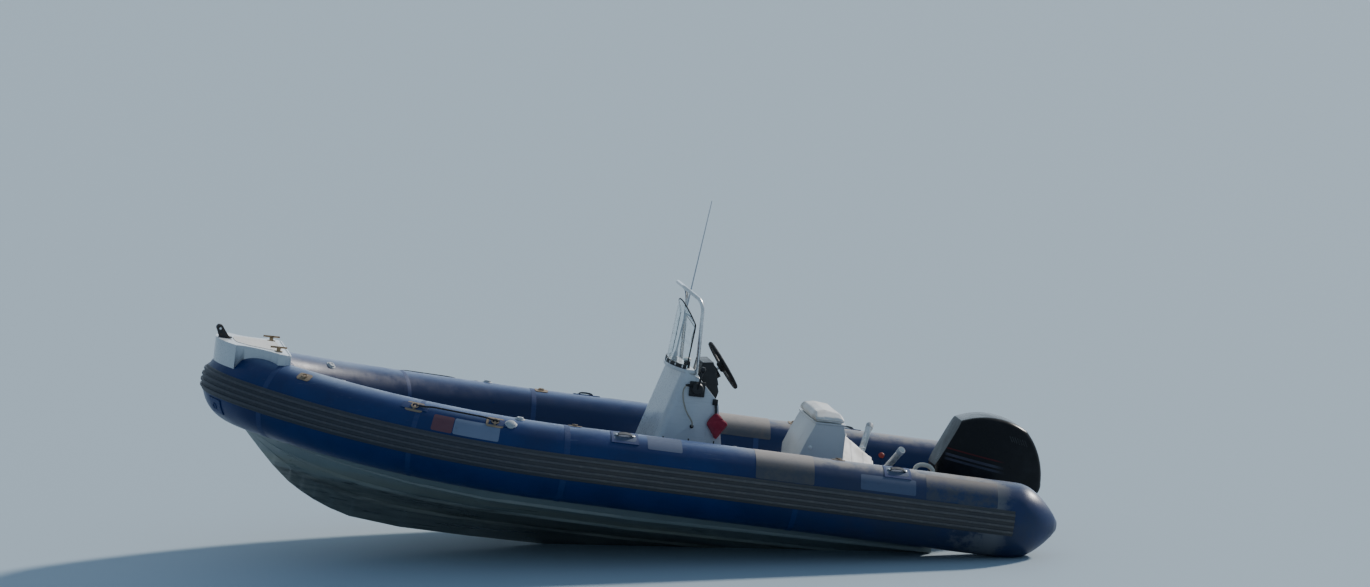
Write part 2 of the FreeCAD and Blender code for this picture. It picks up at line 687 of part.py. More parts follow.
def makeCowl():
    """The side view's arcs, narrowed in plan towards top, front and back, and rounded all along the top."""
    def at(x, z):
        return V(x, -cowlHalf - 50, z)
    (aftX, aftZ), (foreX, foreZ) = cowlFoot
    edges = [arc(at(-1790, 360), at(-1806, 560), at(-1900, 735)),
             arc(at(-1900, 735), at(-2140, 792), at(-2385, 722)),
             arc(at(-2385, 722), at(-2492, 560), at(-2530, 380)),
             arc(at(-2530, 380), at(-2512, 300), at(aftX, aftZ)),
             Part.makeLine(at(aftX, aftZ), at(foreX, foreZ)),
             Part.makeLine(at(foreX, foreZ), at(-1790, 360))]
    outline = Part.Face(Part.Wire(edges)).extrude(Y * 2 * (cowlHalf + 50))
    tub = Part.makeLoft([cowlPlan(200, 110, cowlHalf - 25, 80), cowlPlan(430, 135, cowlHalf, 95),
                         cowlPlan(850, 80, cowlHalf - 55, 55)], True, False)
    body = outline.common(tub)
    rims = [e for e in body.Edges if abs(e.CenterOfMass.y) > 20 and e.CenterOfMass.z > 300 and e.Length > 60]
    return body.makeFillet(cowlBlend, rims)


def makePan():
    (aftX, aftZ), (foreX, foreZ) = cowlFoot
    aftX += 10
    aftZ += 10 * (foreZ - cowlFoot[0][1]) / (foreX - cowlFoot[0][0])
    profile = [(foreX, legTop + seat), (-2230, legTop + seat), (aftX, aftZ - seat), (foreX, foreZ - seat)]
    return slab(profile, 120)


def makePropeller():
    hub = lathe([(0, 0), (0, propHubR - 4), (120, propHubR - 14), (150, 20), (150, 0)],
                V(propX, 0, propZ), -X)
    shaft = Part.makeCylinder(12, 120, V(propX - 20, 0, propZ), X)
    solids = [hub, shaft]
    for k in range(blades):
        wires = []
        for radius, chord, pitch, thick in ((40, 80, 62, 12), (0.65 * propR, 120, 38, 8), (propR - 3, 60, 26, 3)):
            way = V(-math.sin(math.radians(pitch)), math.cos(math.radians(pitch)), 0)
            face = V(math.cos(math.radians(pitch)), math.sin(math.radians(pitch)), 0)
            middle = V(propX - 60, 0, propZ + radius)
            a, b = middle + way * (chord / 2), middle - way * (chord / 2)
            arcs = [Part.Arc(a, middle + face * (thick / 2), b).toShape(),
                    Part.Arc(b, middle - face * (thick / 2), a).toShape()]
            wires.append(Part.Wire(arcs))
        blade = Part.makeLoft(wires, True, True)
        blade.rotate(V(propX, 0, propZ), X, 120 * k)
        solids.append(blade)
    return solids[0].fuse(solids[1:])


def makeRiggingTube():
    """A rigid conduit that leads the engine's cables from the sole over the transom to the tilt pin."""
    y, top = 340, 432
    return pipe([V(-1612, y, soleTop + seat), V(-1612, y, top), V(tiltX, y, top - 10), V(tiltX, y, tiltZ),
                 V(tiltX, tiltPinEnd + seat, tiltZ)], 55, 18)


# Points of the free cords' routes, chosen by hand
lifelineRoute = [(1282, 1047, 550.4), (1326, 1040.5, 553.4), (1373, 1038, 566), (1465, 1022, 572.5),
                 (1550, 1003, 578), (1634, 983, 584), (1722, 959, 590), (1766, 940.5, 583.5), (1811, 926.5, 587)]
cableRoute = [(-30, 428, 838), (-8, 428, 838), (12, 429, 812), (10, 430, 752), (-22, 430, 662), (-72, 430, 600),
              (-75, 425, 566), (-75, 406.3, 565)]


def makeCord(route, bendR, radius):
    return pipe([V(*point) for point in route], bendR, radius)


def makeHandles():
    pieces = []
    for x in (460, -1360):
        pieces.append(patch(straightRun, runAt(x) - 90, runAt(x) + 90, 52, 88, 5))
    for turn in (8, 18):
        pieces.append(patch(foreRun, turn - 1.5, turn + 1.5, 52, 66, 5))
    pieces += [side(piece) for piece in list(pieces)]
    return Part.makeCompound(pieces)


def makeInstrumentPod():
    profile = [(-95, 860), (-118, 985), (-190, 992), (-245, 800), (-230, 740)]
    return slab(profile, 20, 300)


def makeThrottle():
    body = box(-135, -30, consoleHalf + seat, consoleHalf + 46, 765, 865)
    lever = rod(V(-82, consoleHalf + 30, 820), V(-98, consoleHalf + 62, 950), 8)
    knob = Part.makeSphere(19, V(-98, consoleHalf + 62, 955))
    return body.fuse([lever, knob])


def makeLineBag():
    """A soft throw-line bag that hangs by one corner on the console's port side."""
    corners = [(-225, 675), (-165, 600), (-240, 490), (-315, 605)]
    bag = slab(corners, 0, 46)
    return bag.translate(V(0, consoleHalf + seat, 0))


def makeBowCleats():
    cleats = []
    x = bowAftX + 75
    z = bowTopAft + 75 * (bowTopFront - bowTopAft) / (bowFrontX - bowAftX)
    for y in (-300, 300):
        base = box(x - 26, x + 26, y - 10, y + 10, z - 20, z + 6)
        stem = box(x - 13, x + 13, y - 6, y + 6, z, z + 26)
        horns = Part.makeCylinder(6.5, 110, V(x - 55, y, z + 30), X)
        cleats.append(base.fuse([stem, horns]).cut(makeBowMoulding()))
    return Part.makeCompound(cleats)


def makeNosePatch():
    """Rub patches low on either side of the nose, each with a towing ring lying on it."""
    middle = noseRun["sweep"] - 24
    base = patch(noseRun, middle - 7, middle + 7, -46, -21, 6)
    frame = collarFrame(noseRun, middle)
    spot = onTube(frame, tubeR + seat + 7, -33)
    outward = (spot - onTube(frame, tubeR, -33)).normalize()
    port = base.fuse(Part.makeTorus(20, 4, spot, outward))
    return Part.makeCompound([port, side(port)])


def makeEyes():
    pieces = []
    for y in (-520, 520):
        ring = Part.makeTorus(28, 6, V(-transomToOrigin - 26, y, 110), Y)
        pieces.append(ring.common(box(-transomToOrigin - 80, -transomToOrigin - 0.3, y - 40, y + 40, 0, 300)))
    return Part.makeCompound(pieces)


aftTube, midTube, foreTube = tubeChambers()
noseTube = tubePiece(noseRun, 0, noseRun["sweep"])
noseTube = noseTube.fuse(side(noseTube)).removeSplitter()
strakePort = strake(straightRun, runAt(strakeEndX), straightRun["length"]).fuse(
    strake(foreRun, 0, foreRun["sweep"]))
strakeNose = strake(noseRun, 0, noseRun["sweep"])
strakeNose = strakeNose.fuse(side(strakeNose)).removeSplitter()
screen, screenStrip = makeWindscreen()
console = makeConsole()
lifeline = makeCord(lifelineRoute, 45, 6)
shelf = makeScreenShelf()
rail = makeGrabRail()
consoleWhole = console.fuse(shelf)

nodes = {
    "hull": makeHull(),
    "cockpit_sole": makeSole(),
    "transom": makeTransom(),
    "tube_aft_port": aftTube,
    "tube_mid_port": midTube,
    "tube_fore_port": foreTube,
    "tube_nose": noseTube,
    "tube_aft_starboard": side(aftTube),
    "tube_mid_starboard": side(midTube),
    "tube_fore_starboard": side(foreTube),
    "strake_port": strakePort,
    "strake_starboard": side(strakePort),
    "strake_nose": strakeNose,
    "bow_moulding": makeBowMoulding(),
    "bow_locker": makeBowLocker(),
    "bow_locker_lid": makeBowLid(),
    "roller_bracket": makeRollerBracket(),
    "bow_roller": makeRoller(),
    "console": consoleWhole,
    "console_door": makeConsoleDoor(),
    "windscreen": screen,
    "windscreen_strip": screenStrip,
    "console_rail": biggest(rail.cut(consoleWhole)),
    "helm_unit": biggest(makeHelm().cut(consoleWhole)),
    "steering_wheel": makeWheel(),
    "antenna": biggest(makeAntenna().cut(consoleWhole)),
    "seat_box": makeSeatBox(),
    "seat_lid": makeSeatLid(),
    "seat_cushion": makeSeatCushion(),
    "aft_locker": makeAftLocker(),
    "aft_pad": makeAftPad(),
    "rod_holder_port": makeRodHolder(),
    "rod_holder_starboard": side(makeRodHolder()),
    "transom_bracket": makeTransomBracket(),
    "engine_swivel": makeSwivel(),
    "engine_leg": makeEngineLeg(),
    "engine_pan": makePan(),
    "engine_cowl": makeCowl(),
    "propeller": makePropeller(),
    "rigging_tube": makeRiggingTube(),
    "lifeline_port": lifeline,
    "lifeline_starboard": side(lifeline),
    "control_cable": makeCord(cableRoute, 12, 5),
    "tube_handles": makeHandles(),
    "towing_eyes": makeEyes(),
    "instrument_pod": biggest(makeInstrumentPod().cut(consoleWhole)),
    "throttle_control": makeThrottle(),
    "line_bag": makeLineBag(),
    "bow_cleats": makeBowCleats(),
    "nose_patch": makeNosePatch(),
}

os.makedirs("parts", exist_ok=True)
for name, shape in nodes.items():
    print(name, len(shape.Solids), shape.isValid(), round(shape.Volume / 1e6, 2), shape.BoundBox)
    shape.exportStep("parts/%s.step" % name)
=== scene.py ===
import bpy
import bmesh
import json
import math
from bmesh.types import BMEdge, BMFace, BMVert
from mathutils import Matrix, Vector
from mathutils.bvhtree import BVHTree


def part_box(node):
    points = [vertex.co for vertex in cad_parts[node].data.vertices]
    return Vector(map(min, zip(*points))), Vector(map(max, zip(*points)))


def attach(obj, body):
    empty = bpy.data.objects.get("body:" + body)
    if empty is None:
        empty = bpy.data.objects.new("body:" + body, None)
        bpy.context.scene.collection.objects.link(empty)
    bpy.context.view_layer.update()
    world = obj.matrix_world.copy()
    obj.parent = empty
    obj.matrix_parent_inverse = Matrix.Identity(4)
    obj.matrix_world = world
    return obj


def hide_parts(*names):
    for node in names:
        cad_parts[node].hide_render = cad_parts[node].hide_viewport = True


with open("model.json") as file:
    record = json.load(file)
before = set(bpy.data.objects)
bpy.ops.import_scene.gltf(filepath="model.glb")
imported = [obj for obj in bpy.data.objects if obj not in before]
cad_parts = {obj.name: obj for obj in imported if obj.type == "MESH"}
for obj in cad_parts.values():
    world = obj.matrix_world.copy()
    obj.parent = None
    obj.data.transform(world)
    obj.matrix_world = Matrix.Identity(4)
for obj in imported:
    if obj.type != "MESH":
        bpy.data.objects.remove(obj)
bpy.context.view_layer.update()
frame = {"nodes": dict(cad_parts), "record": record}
nodes = frame["nodes"]
bodies = {node: body for body, names in frame["record"]["behaviour"]["bodies"].items() for node in names}
slots = {row["node"]: row["material_slot"] for row in frame["record"]["subparts"]}
hands = ((1, "port"), (-1, "starboard"))
print("frame loaded:", len(nodes), "nodes")


def link(name, data):
    piece = bpy.data.objects.new(name, data)
    bpy.context.scene.collection.objects.link(piece)
    return piece


# A matrix from the ways of its three axes
def axes(*ways):
    return Matrix(ways).transposed().to_4x4()


# The view: the camera looks at the port side from a little ahead, and the boat runs bow up
viewLook = {"azimuth": 8.0, "elevation": 6.5, "bowUp": 6.7, "distance": 45.0, "width": 9.13, "sensor": 36,
            "aim": (0.01, 0.0, 1.40), "waterAtOrigin": -0.275}


# Up and ahead as the photograph's water has them
def viewAxes():
    pitch = math.radians(viewLook["bowUp"])
    return Vector((math.sin(pitch), 0, math.cos(pitch))), Vector((math.cos(pitch), 0, -math.sin(pitch)))


def addCamera():
    look = viewLook
    upWay, ahead = viewAxes()
    turn, climb = math.radians(look["azimuth"]), math.radians(look["elevation"])
    level = ahead * math.sin(turn) + Vector((0, 1, 0)) * math.cos(turn)
    back = level * math.cos(climb) + upWay * math.sin(climb)
    right = upWay.cross(back).normalized()
    camera = link("camera", bpy.data.cameras.new("camera"))
    camera.data.sensor_width = look["sensor"]
    camera.data.lens = look["sensor"] * look["distance"] / look["width"]
    camera.data.clip_end = 400
    spot = Vector(look["aim"]) + back * look["distance"]
    camera.matrix_world = Matrix.Translation(spot) @ axes(right, back.cross(right), back)
    bpy.context.scene.camera = camera


addCamera()


# A node tree with a short name for each kind of node the paints use
class Tree:
    def __init__(self, tree):
        self.tree = tree

    def plug(self, socket, value):
        if isinstance(value, bpy.types.NodeSocket):
            self.tree.links.new(value, socket)
        elif socket.type == "RGBA":
            socket.default_value = (*value, 1)
        else:
            socket.default_value = value

    def node(self, kind, settings=None, **values):
        node = self.tree.nodes.new("ShaderNode" + kind)
        for key, value in (settings or {}).items():
            setattr(node, key, value)
        for key, value in values.items():
            self.plug(node.inputs[key], value)
        return node.outputs

    def calc(self, operation, a, b=0.0):
        node = self.tree.nodes.new("ShaderNodeMath")
        node.operation = operation
        self.plug(node.inputs[0], a)
        self.plug(node.inputs[1], b)
        return node.outputs[0]

    def times(self, a, b):
        return self.calc("MULTIPLY", a, b)

    def add(self, a, b):
        return self.calc("ADD", a, b)

    def split(self, vector):
        return self.node("SeparateXYZ", Vector=vector)

    # The piece's own coordinates in metres, stretched or turned
    def place(self, stretch=(1, 1, 1), turn=(0, 0, 0)):
        spot = self.node("TexCoord")["Object"]
        if stretch == (1, 1, 1) and turn == (0, 0, 0):
            return spot
        return self.node("Mapping", Vector=spot, Scale=stretch, Rotation=turn)[0]

    def noise(self, spot, scale, detail=4.0, roughness=0.55):
        return self.node("TexNoise", Vector=spot, Scale=scale, Detail=detail, Roughness=roughness)[0]

    def cells(self, spot, scale):
        return self.node("TexVoronoi", Vector=spot, Scale=scale)["Distance"]

    # Goes smoothly from least to most as the value goes from low to high
    def rise(self, value, low, high, least=0.0, most=1.0):
        ends = {"From Min": low, "From Max": high, "To Min": least, "To Max": most}
        return self.node("MapRange", {"interpolation_type": "SMOOTHSTEP"}, Value=value, **ends)[0]

    def mix(self, share, a, b):
        node = self.tree.nodes.new("ShaderNodeMix")
        node.data_type = "RGBA"
        for k, value in ((0, share), (6, a), (7, b)):
            self.plug(node.inputs[k], value)
        return node.outputs[2]


# A new material, and how its colour, roughness and (height, distance, strength) bumps join its shader
class Paint(Tree):
    def __init__(self, name, roughness=0.5, metallic=0.0, coat=0.0, coatRoughness=0.1,
                 sheen=0.0, specular=0.5):
        self.paint = bpy.data.materials.new(name)
        self.paint.use_nodes = True
        self.tree = self.paint.node_tree
        self.shader = self.tree.nodes["Principled BSDF"].inputs
        names = ("Roughness", "Metallic", "Coat Weight", "Coat Roughness",
                 "Sheen Weight", "Specular IOR Level")
        for socket, value in zip(names, (roughness, metallic, coat, coatRoughness, sheen, specular)):
            self.shader[socket].default_value = value

    def finish(self, colour, roughness=None, bumps=()):
        self.plug(self.shader["Base Color"], colour)
        if roughness is not None:
            self.plug(self.shader["Roughness"], roughness)
        normal = {}
        for height, distance, strength in bumps:
            made = self.node("Bump", Height=height, Distance=distance, Strength=strength, **normal)
            normal = {"Normal": made[0]}
        for socket, value in normal.items():
            self.plug(self.shader[socket], value)
        return self.paint


# Gelcoat or moulded plastic: cloudy tone, run-down grime, small scratches and a fine grain
def moulded(name, colour, grime, roughness, dirt, grain, coat=0.0, relief=0.0006, cloud=5.0, shade=0.9):
    p = Paint(name, roughness, coat=coat, coatRoughness=0.15)
    spot = p.place()
    clouds = p.noise(spot, cloud, 5)
    streak = p.noise(p.place((30, 30, 3)), 1.0, 6, 0.65)
    scratch = p.noise(p.place((4, 90, 90), (0.3, 0.5, 0.2)), 1.0, 3)
    soiled = p.times(p.times(p.rise(streak, 0.5, 0.78), p.rise(clouds, 0.38, 0.72)), dirt)
    tone = p.mix(p.rise(clouds, 0.3, 0.7, 0.0, 0.5), colour, [c * shade for c in colour])
    rough = p.rise(scratch, 0.3, 0.75, roughness - 0.06, roughness + 0.16)
    return p.finish(p.mix(soiled, tone, grime), rough, [(p.noise(spot, grain, 2), relief, 0.25),
                                                        (clouds, 0.004, 0.08)])


# Polished or painted metal with brushed lines, fingerprints and darker water marks
def metal(name, colour, roughness, share, markColour, metallic=1.0):
    p = Paint(name, roughness, metallic)
    marks = p.noise(p.place(), 38.0, 6, 0.6)
    line = p.noise(p.place((9, 9, 240)), 1.0, 2)
    tone = p.mix(p.rise(marks, 0.48, 0.72, 0.0, share), colour, markColour)
    return p.finish(tone, p.rise(marks, 0.3, 0.75, roughness, roughness + 0.22),
                    [(line, 0.0003, 0.2), (marks, 0.0004, 0.15)])


# The parts of a result that are of one kind
def picked(items, kind):
    return [item for item in items if isinstance(item, kind)]


# The vertices made after the set was taken
def since(form, before):
    return [vert for vert in form.verts if vert not in before]


def everything(form):
    return list(form.verts) + list(form.edges) + list(form.faces)


# The record's slot for each paint
slotOf = {paint: slot for slot, names in {
    "tube": "tube tape", "strake": "strake", "hull_grp": "hull", "grp": "white deck",
    "seat_grp": "seatShell",
    "patch": "patchGrey patchWorn patchNavy patchTan panelPale panelRed panelBlue", "rope": "rope webbing",
    "white_plastic": "greyPlastic capRed catchWhite", "black_plastic": "blackPlastic dial",
    "black_rubber": "rubber", "stainless": "stainless zinc",
    "cushion": "cushion piping", "bag": "bag bagEdge",
    "hose": "conduit cable", "engine_metal": "engine", "cowl": "cowl", "propeller": "bronze"}.items()
    for paint in names.split()}


# Turns a form into a finished piece that rides on a body; hand -1 sets it on the starboard side
def settle(form, name, paint, body="boat", replaces=(), slot=None, hand=1, smooth=35, clean=True):
    if hand < 0:
        bmesh.ops.scale(form, vec=(1, -1, 1), verts=form.verts)
    if clean:
        bmesh.ops.remove_doubles(form, verts=form.verts, dist=1e-5)
        bmesh.ops.recalc_face_normals(form, faces=form.faces)
    mesh = bpy.data.meshes.new(name)
    form.to_mesh(mesh)
    form.free()
    mesh.polygons.foreach_set("use_smooth", [True] * len(mesh.polygons))
    mesh.set_sharp_from_angle(angle=math.radians(smooth))
    piece = link(name, mesh)
    piece.data.materials.append(paints[paint])
    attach(piece, body)
    if replaces:
        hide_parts(*replaces)
    return piece


# Builds a small piece from rows of a maker and its values
def build(name, paint, rows, body="boat", **settings):
    form = bmesh.new()
    for maker, *values in rows:
        maker(form, *values)
    settle(form, name, paint, body, **settings)


# A merged copy of a CAD node, with the triangles of its flat faces joined
def nodeForm(node, flat=0.4):
    form = bmesh.new()
    form.from_mesh(nodes[node].data)
    bmesh.ops.remove_doubles(form, verts=form.verts, dist=2e-5)
    if flat:
        bmesh.ops.dissolve_limit(form, angle_limit=math.radians(flat), verts=form.verts, edges=form.edges)
    return form


# The edges where two faces meet at more than an angle
def hardEdges(form, degrees):
    return [edge for edge in form.edges
            if len(edge.link_faces) == 2 and edge.calc_face_angle(0) > math.radians(degrees)]


def bevel(form, geom, width, steps=2, affect="EDGES"):
    bmesh.ops.bevel(form, geom=geom, offset=width, offset_type="OFFSET", segments=steps, profile=0.5,
                    affect=affect, clamp_overlap=True, material=-1)


# A CAD node's form with its sharp edges blended, in the node's place
def dress(node, paint, width=0.0, steps=2, angle=30, flat=0.4, smooth=35):
    form = nodeForm(node, flat)
    if width:
        bevel(form, hardEdges(form, angle), width, steps)
    settle(form, node + "_dressed", paint, bodies[node], [node], slots[node], smooth=smooth, clean=False)


def addBlock(form, low, high, blend=0.002, steps=2):
    before = set(form.verts)
    low, high = Vector(low), Vector(high)
    made = bmesh.ops.create_cube(form, size=1)["verts"]
    bmesh.ops.scale(form, vec=high - low, verts=made)
    if blend:
        bevel(form, list({edge for vert in made for edge in vert.link_edges}), blend, steps)
    made = since(form, before)
    bmesh.ops.translate(form, vec=(low + high) / 2, verts=made)
    return made


# A block drawn round the origin and then moved by a matrix
def addMoved(form, move, *block):
    bmesh.ops.transform(form, matrix=move, verts=addBlock(form, *block))


# The matrix that stands the z axis along a way at an origin
def toward(origin, way):
    return Matrix.Translation(Vector(origin)) @ Vector(way).to_track_quat("Z", "X").to_matrix().to_4x4()


# (distance, radius) pairs in metres from a row of millimetres
def mm(*row):
    return [(distance / 1000, radius / 1000) for distance, radius in zip(row[::2], row[1::2])]


# A lathe-turned form from (distance, radius) pairs
def addTurned(form, profile, origin, way=(0, 0, 1), around=32):
    before = set(form.verts)
    verts = [form.verts.new((radius, 0, distance)) for distance, radius in profile]
    edges = [form.edges.new(pair) for pair in zip(verts, verts[1:])]
    bmesh.ops.spin(form, geom=verts + edges, cent=(0, 0, 0), axis=(0, 0, 1), angle=math.tau, steps=around,
                   use_merge=True)
    bmesh.ops.remove_doubles(form, verts=since(form, before), dist=1e-6)
    made = since(form, before)
    bmesh.ops.transform(form, matrix=toward(origin, way), verts=made)
    return made


def addRod(form, start, end, radius, around=16):
    start, end = Vector(start), Vector(end)
    length, ease = (end - start).length, radius * 0.2
    inner = radius - ease
    profile = [(0, 0), (0, inner), (ease, radius), (length - ease, radius), (length, inner), (length, 0)]
    addTurned(form, profile, start, end - start, around)


# A pan-head screw
def addScrew(form, origin, way=(0, 0, 1), radius=0.005, height=0.003):
    addTurned(form,
              [(0, 0), (0, radius), (height * 0.5, radius * 0.95), (height, radius * 0.55), (height, 0)],
              origin, way, 14)


# A washer under a hexagon head
def addBolt(form, origin, way, radius=0.008, height=0.008, washer=0.0015):
    addTurned(form, [(0, 0), (0, radius * 1.6), (washer, radius * 1.6), (washer, 0)], origin, way, 20)
    addTurned(form, [(washer, 0), (washer, radius), (height - 0.001, radius), (height, radius * 0.8),
                     (height, 0)], origin, way, 6)


# Places on a circle, as offsets from its centre
def circle(count, radius, start=0.0):
    turns = [start + math.tau * k / count for k in range(count)]
    return [(radius * math.cos(turn), radius * math.sin(turn)) for turn in turns]


# A smooth NURBS line with a round section
def addLine(name, points, radius, around=6, cyclic=False, smoothness=8):
    curve = bpy.data.curves.new(name, "CURVE")
    curve.dimensions = "3D"
    curve.bevel_depth = radius
    curve.bevel_resolution = around // 2
    curve.resolution_u = smoothness
    curve.use_fill_caps = True
    spline = curve.splines.new("NURBS")
    spline.points.add(len(points) - 1)
    for spot, point in zip(spline.points, points):
        spot.co = (*point, 1)
    spline.order_u = 3
    spline.use_endpoint_u = not cyclic
    spline.use_cyclic_u = cyclic
    return link(name, curve)


# The mesh of such a line, without its curve
def lineMesh(*line, **settings):
    curve = addLine("bar", *line, **settings)
    mesh = bpy.data.meshes.new_from_object(curve)
    data = curve.data
    bpy.data.objects.remove(curve)
    bpy.data.curves.remove(data)
    return mesh


# Adds a bent pipe or bar to a form
def addPipe(form, points, radius, around=8, smoothness=8, cyclic=False):
    before = set(form.verts)
    mesh = lineMesh(points, radius, around, cyclic, smoothness)
    form.from_mesh(mesh)
    bpy.data.meshes.remove(mesh)
    return since(form, before)


# A flat strap drawn along a few points, in a form of its own
def addStrap(form, points, width, thick, across):
    across = Vector(across).normalized() * width
    verts = [form.verts.new(Vector(point) - across / 2) for point in points]
    edges = [form.edges.new(pair) for pair in zip(verts, verts[1:])]
    made = bmesh.ops.extrude_edge_only(form, edges=edges)["geom"]
    bmesh.ops.translate(form, vec=across, verts=picked(made, BMVert))
    bmesh.ops.subdivide_edges(form, edges=list(form.edges), cuts=2, smooth=0.5)
    bmesh.ops.recalc_face_normals(form, faces=form.faces)
    bmesh.ops.solidify(form, geom=list(form.faces), thickness=thick)


# Adds one form to another
def pour(form, whole):
    mesh = bpy.data.meshes.new("part")
    form.to_mesh(mesh)
    form.free()
    whole.from_mesh(mesh)
    bpy.data.meshes.remove(mesh)


# Adds the same forms on the starboard side
def addMirrored(form):
    made = bmesh.ops.duplicate(form, geom=everything(form))["geom"]
    bmesh.ops.scale(form, vec=(1, -1, 1), verts=picked(made, BMVert))
    bmesh.ops.reverse_faces(form, faces=picked(made, BMFace))


# Finds the place on a node that a line from outside first meets
def onForm(node):
    mesh = nodes[node].data
    tree = BVHTree.FromPolygons([vert.co for vert in mesh.vertices],
                                [list(face.vertices) for face in mesh.polygons])
    return lambda origin, way: tree.ray_cast(Vector(origin), Vector(way).normalized())[:2]


# The tube's fabric: coated navy cloth, paler along its very top, partly sun bleaching and partly a painted
# highlight, darker on its inner face, partly less bleaching and partly painted shade, worn and stained toward
# the stern
tubeLook = {"navy": (0.007, 0.032, 0.140), "faded": (0.27, 0.35, 0.49), "deep": (0.004, 0.019, 0.090),
            "bleachedHighlight": (0.12, 0.19, 0.36), "inner": (0.004, 0.018, 0.078), "worn": (0.170, 0.165, 0.175),
            "dulled": (0.046, 0.054, 0.082), "salt": (0.42, 0.46, 0.52), "beige": (0.42, 0.36, 0.30),
            "fadeHighlightFrom": 0.79, "wornAft": 1.02}


def makeTubePaint():
    look = tubeLook
    p = Paint("tubeFabric", 0.38, coat=0.10, coatRoughness=0.28, specular=0.26)
    spot = p.place()
    along, outboard, upward = p.split(p.node("Attribute", {"attribute_name": "skin"})["Vector"])
    cloud = p.noise(spot, 2.2, 6, 0.62)
    blotch = p.noise(spot, 9.0, 7, 0.68)
    wispy = p.noise(p.place((4, 30, 30)), 1.0, 6, 0.7)
    tone = p.mix(p.rise(cloud, 0.35, 0.68, 0.0, 0.8), look["navy"], look["deep"])
    # Painted highlight, partly sun bleaching: the very top is paler, bluish aft and whiter toward the bow
    fadeAndHighlight = p.times(p.rise(upward, look["fadeHighlightFrom"], 1.0), p.rise(cloud, 0.25, 0.75, 0.25, 0.75))
    tone = p.mix(fadeAndHighlight, tone, p.mix(p.rise(along, 4.2, 4.9), look["bleachedHighlight"], look["faded"]))
    salt = p.times(p.rise(wispy, 0.60, 0.82), p.rise(upward, 0.2, 1.0, 0.02, 0.32))
    tone = p.mix(salt, tone, look["salt"])
    # Painted shade, partly less bleaching: the inner face of the tube is darker
    tone = p.mix(p.rise(outboard, -0.75, -0.2, 0.85, 0.0), tone, look["inner"])
    dull = p.times(p.rise(along, 1.0, 2.3, 0.75, 0.0), p.rise(cloud, 0.3, 0.6, 0.5, 1.0))
    tone = p.mix(p.times(dull, p.rise(outboard, -0.2, 0.2)), tone, look["dulled"])
    band = p.times(p.rise(along, 0.40, look["wornAft"], 1.0, 0.0), p.rise(along, 0.30, 0.46))
    band = p.times(band, p.rise(outboard, -0.25, 0.5))
    ragged = p.rise(p.add(blotch, p.times(band, 0.35)), 0.62, 0.80)
    tone = p.mix(p.times(ragged, band), tone, look["worn"])
    beige = p.times(p.rise(along, 1.9, 2.3, 1.0, 0.0), p.rise(upward, 0.80, 0.95))
    beige = p.times(beige, p.rise(p.add(along, cloud), 0.72, 1.10))
    tone = p.mix(p.times(beige, p.rise(blotch, 0.35, 0.6, 0.35, 0.85)), tone, look["beige"])
    pucker = p.noise(p.place((20, 5, 5)), 1.0, 3, 0.5)
    return p.finish(tone, p.rise(blotch, 0.3, 0.7, 0.30, 0.46),
                    [(p.cells(spot, 720.0), 0.0004, 0.3), (pucker, 0.005, 0.14), (blotch, 0.0012, 0.12)])


# Extruded rubber: grey-brown in its channels, paler along its ribs, partly chalky scrapes and partly a
# painted highlight on their crowns
def makeStrakePaint():
    p = Paint("strakeRubber", 0.55)
    spot = p.place()
    rib = p.node("Attribute", {"attribute_name": "rib"})["Fac"]
    cloud = p.noise(spot, 3.0, 5, 0.6)
    chip = p.noise(p.place((18, 60, 60)), 1.0, 6, 0.7)
    tone = p.mix(p.rise(cloud, 0.3, 0.7), (0.050, 0.050, 0.055), (0.070, 0.065, 0.064))
    # Rib crowns paler: partly chalk and scrapes, partly a painted highlight
    crownScuffAndHighlight = p.mix(p.rise(chip, 0.45, 0.72), (0.092, 0.088, 0.088), (0.165, 0.150, 0.138))
    tone = p.mix(p.rise(rib, 0.55, 0.98), tone, crownScuffAndHighlight)
    tone = p.mix(p.rise(p.split(spot)[0], 0.4, 1.5, 0.0, 0.35), tone, (0.012, 0.026, 0.060))
    tone = p.mix(p.rise(chip, 0.68, 0.78, 0.0, 0.5), tone, (0.24, 0.23, 0.22))
    return p.finish(tone, p.rise(chip, 0.3, 0.75, 0.46, 0.7), [(chip, 0.0006, 0.25)])


# Glued rubber sheet: dull on its side, bleached and rubbed where it faces up
def chafed(name, side, top, mottle):
    p = Paint(name, 0.66)
    upward = p.split(p.node("NewGeometry")["Normal"])[2]
    blotch = p.noise(p.place(), 11.0, 7, 0.7)
    fine = p.noise(p.place((60, 160, 160)), 1.0, 4, 0.6)
    tone = p.mix(p.rise(blotch, 0.40, 0.66), side, mottle)
    tone = p.mix(p.times(p.rise(upward, 0.74, 0.95), p.rise(blotch, 0.2, 0.5, 0.6, 1.0)), tone, top)
    tone = p.mix(p.rise(fine, 0.60, 0.78, 0.0, 0.4), tone, [c * 0.5 for c in side])
    return p.finish(tone, p.rise(blotch, 0.3, 0.7, 0.55, 0.75),
                    [(fine, 0.0007, 0.4), (blotch, 0.0015, 0.25)])


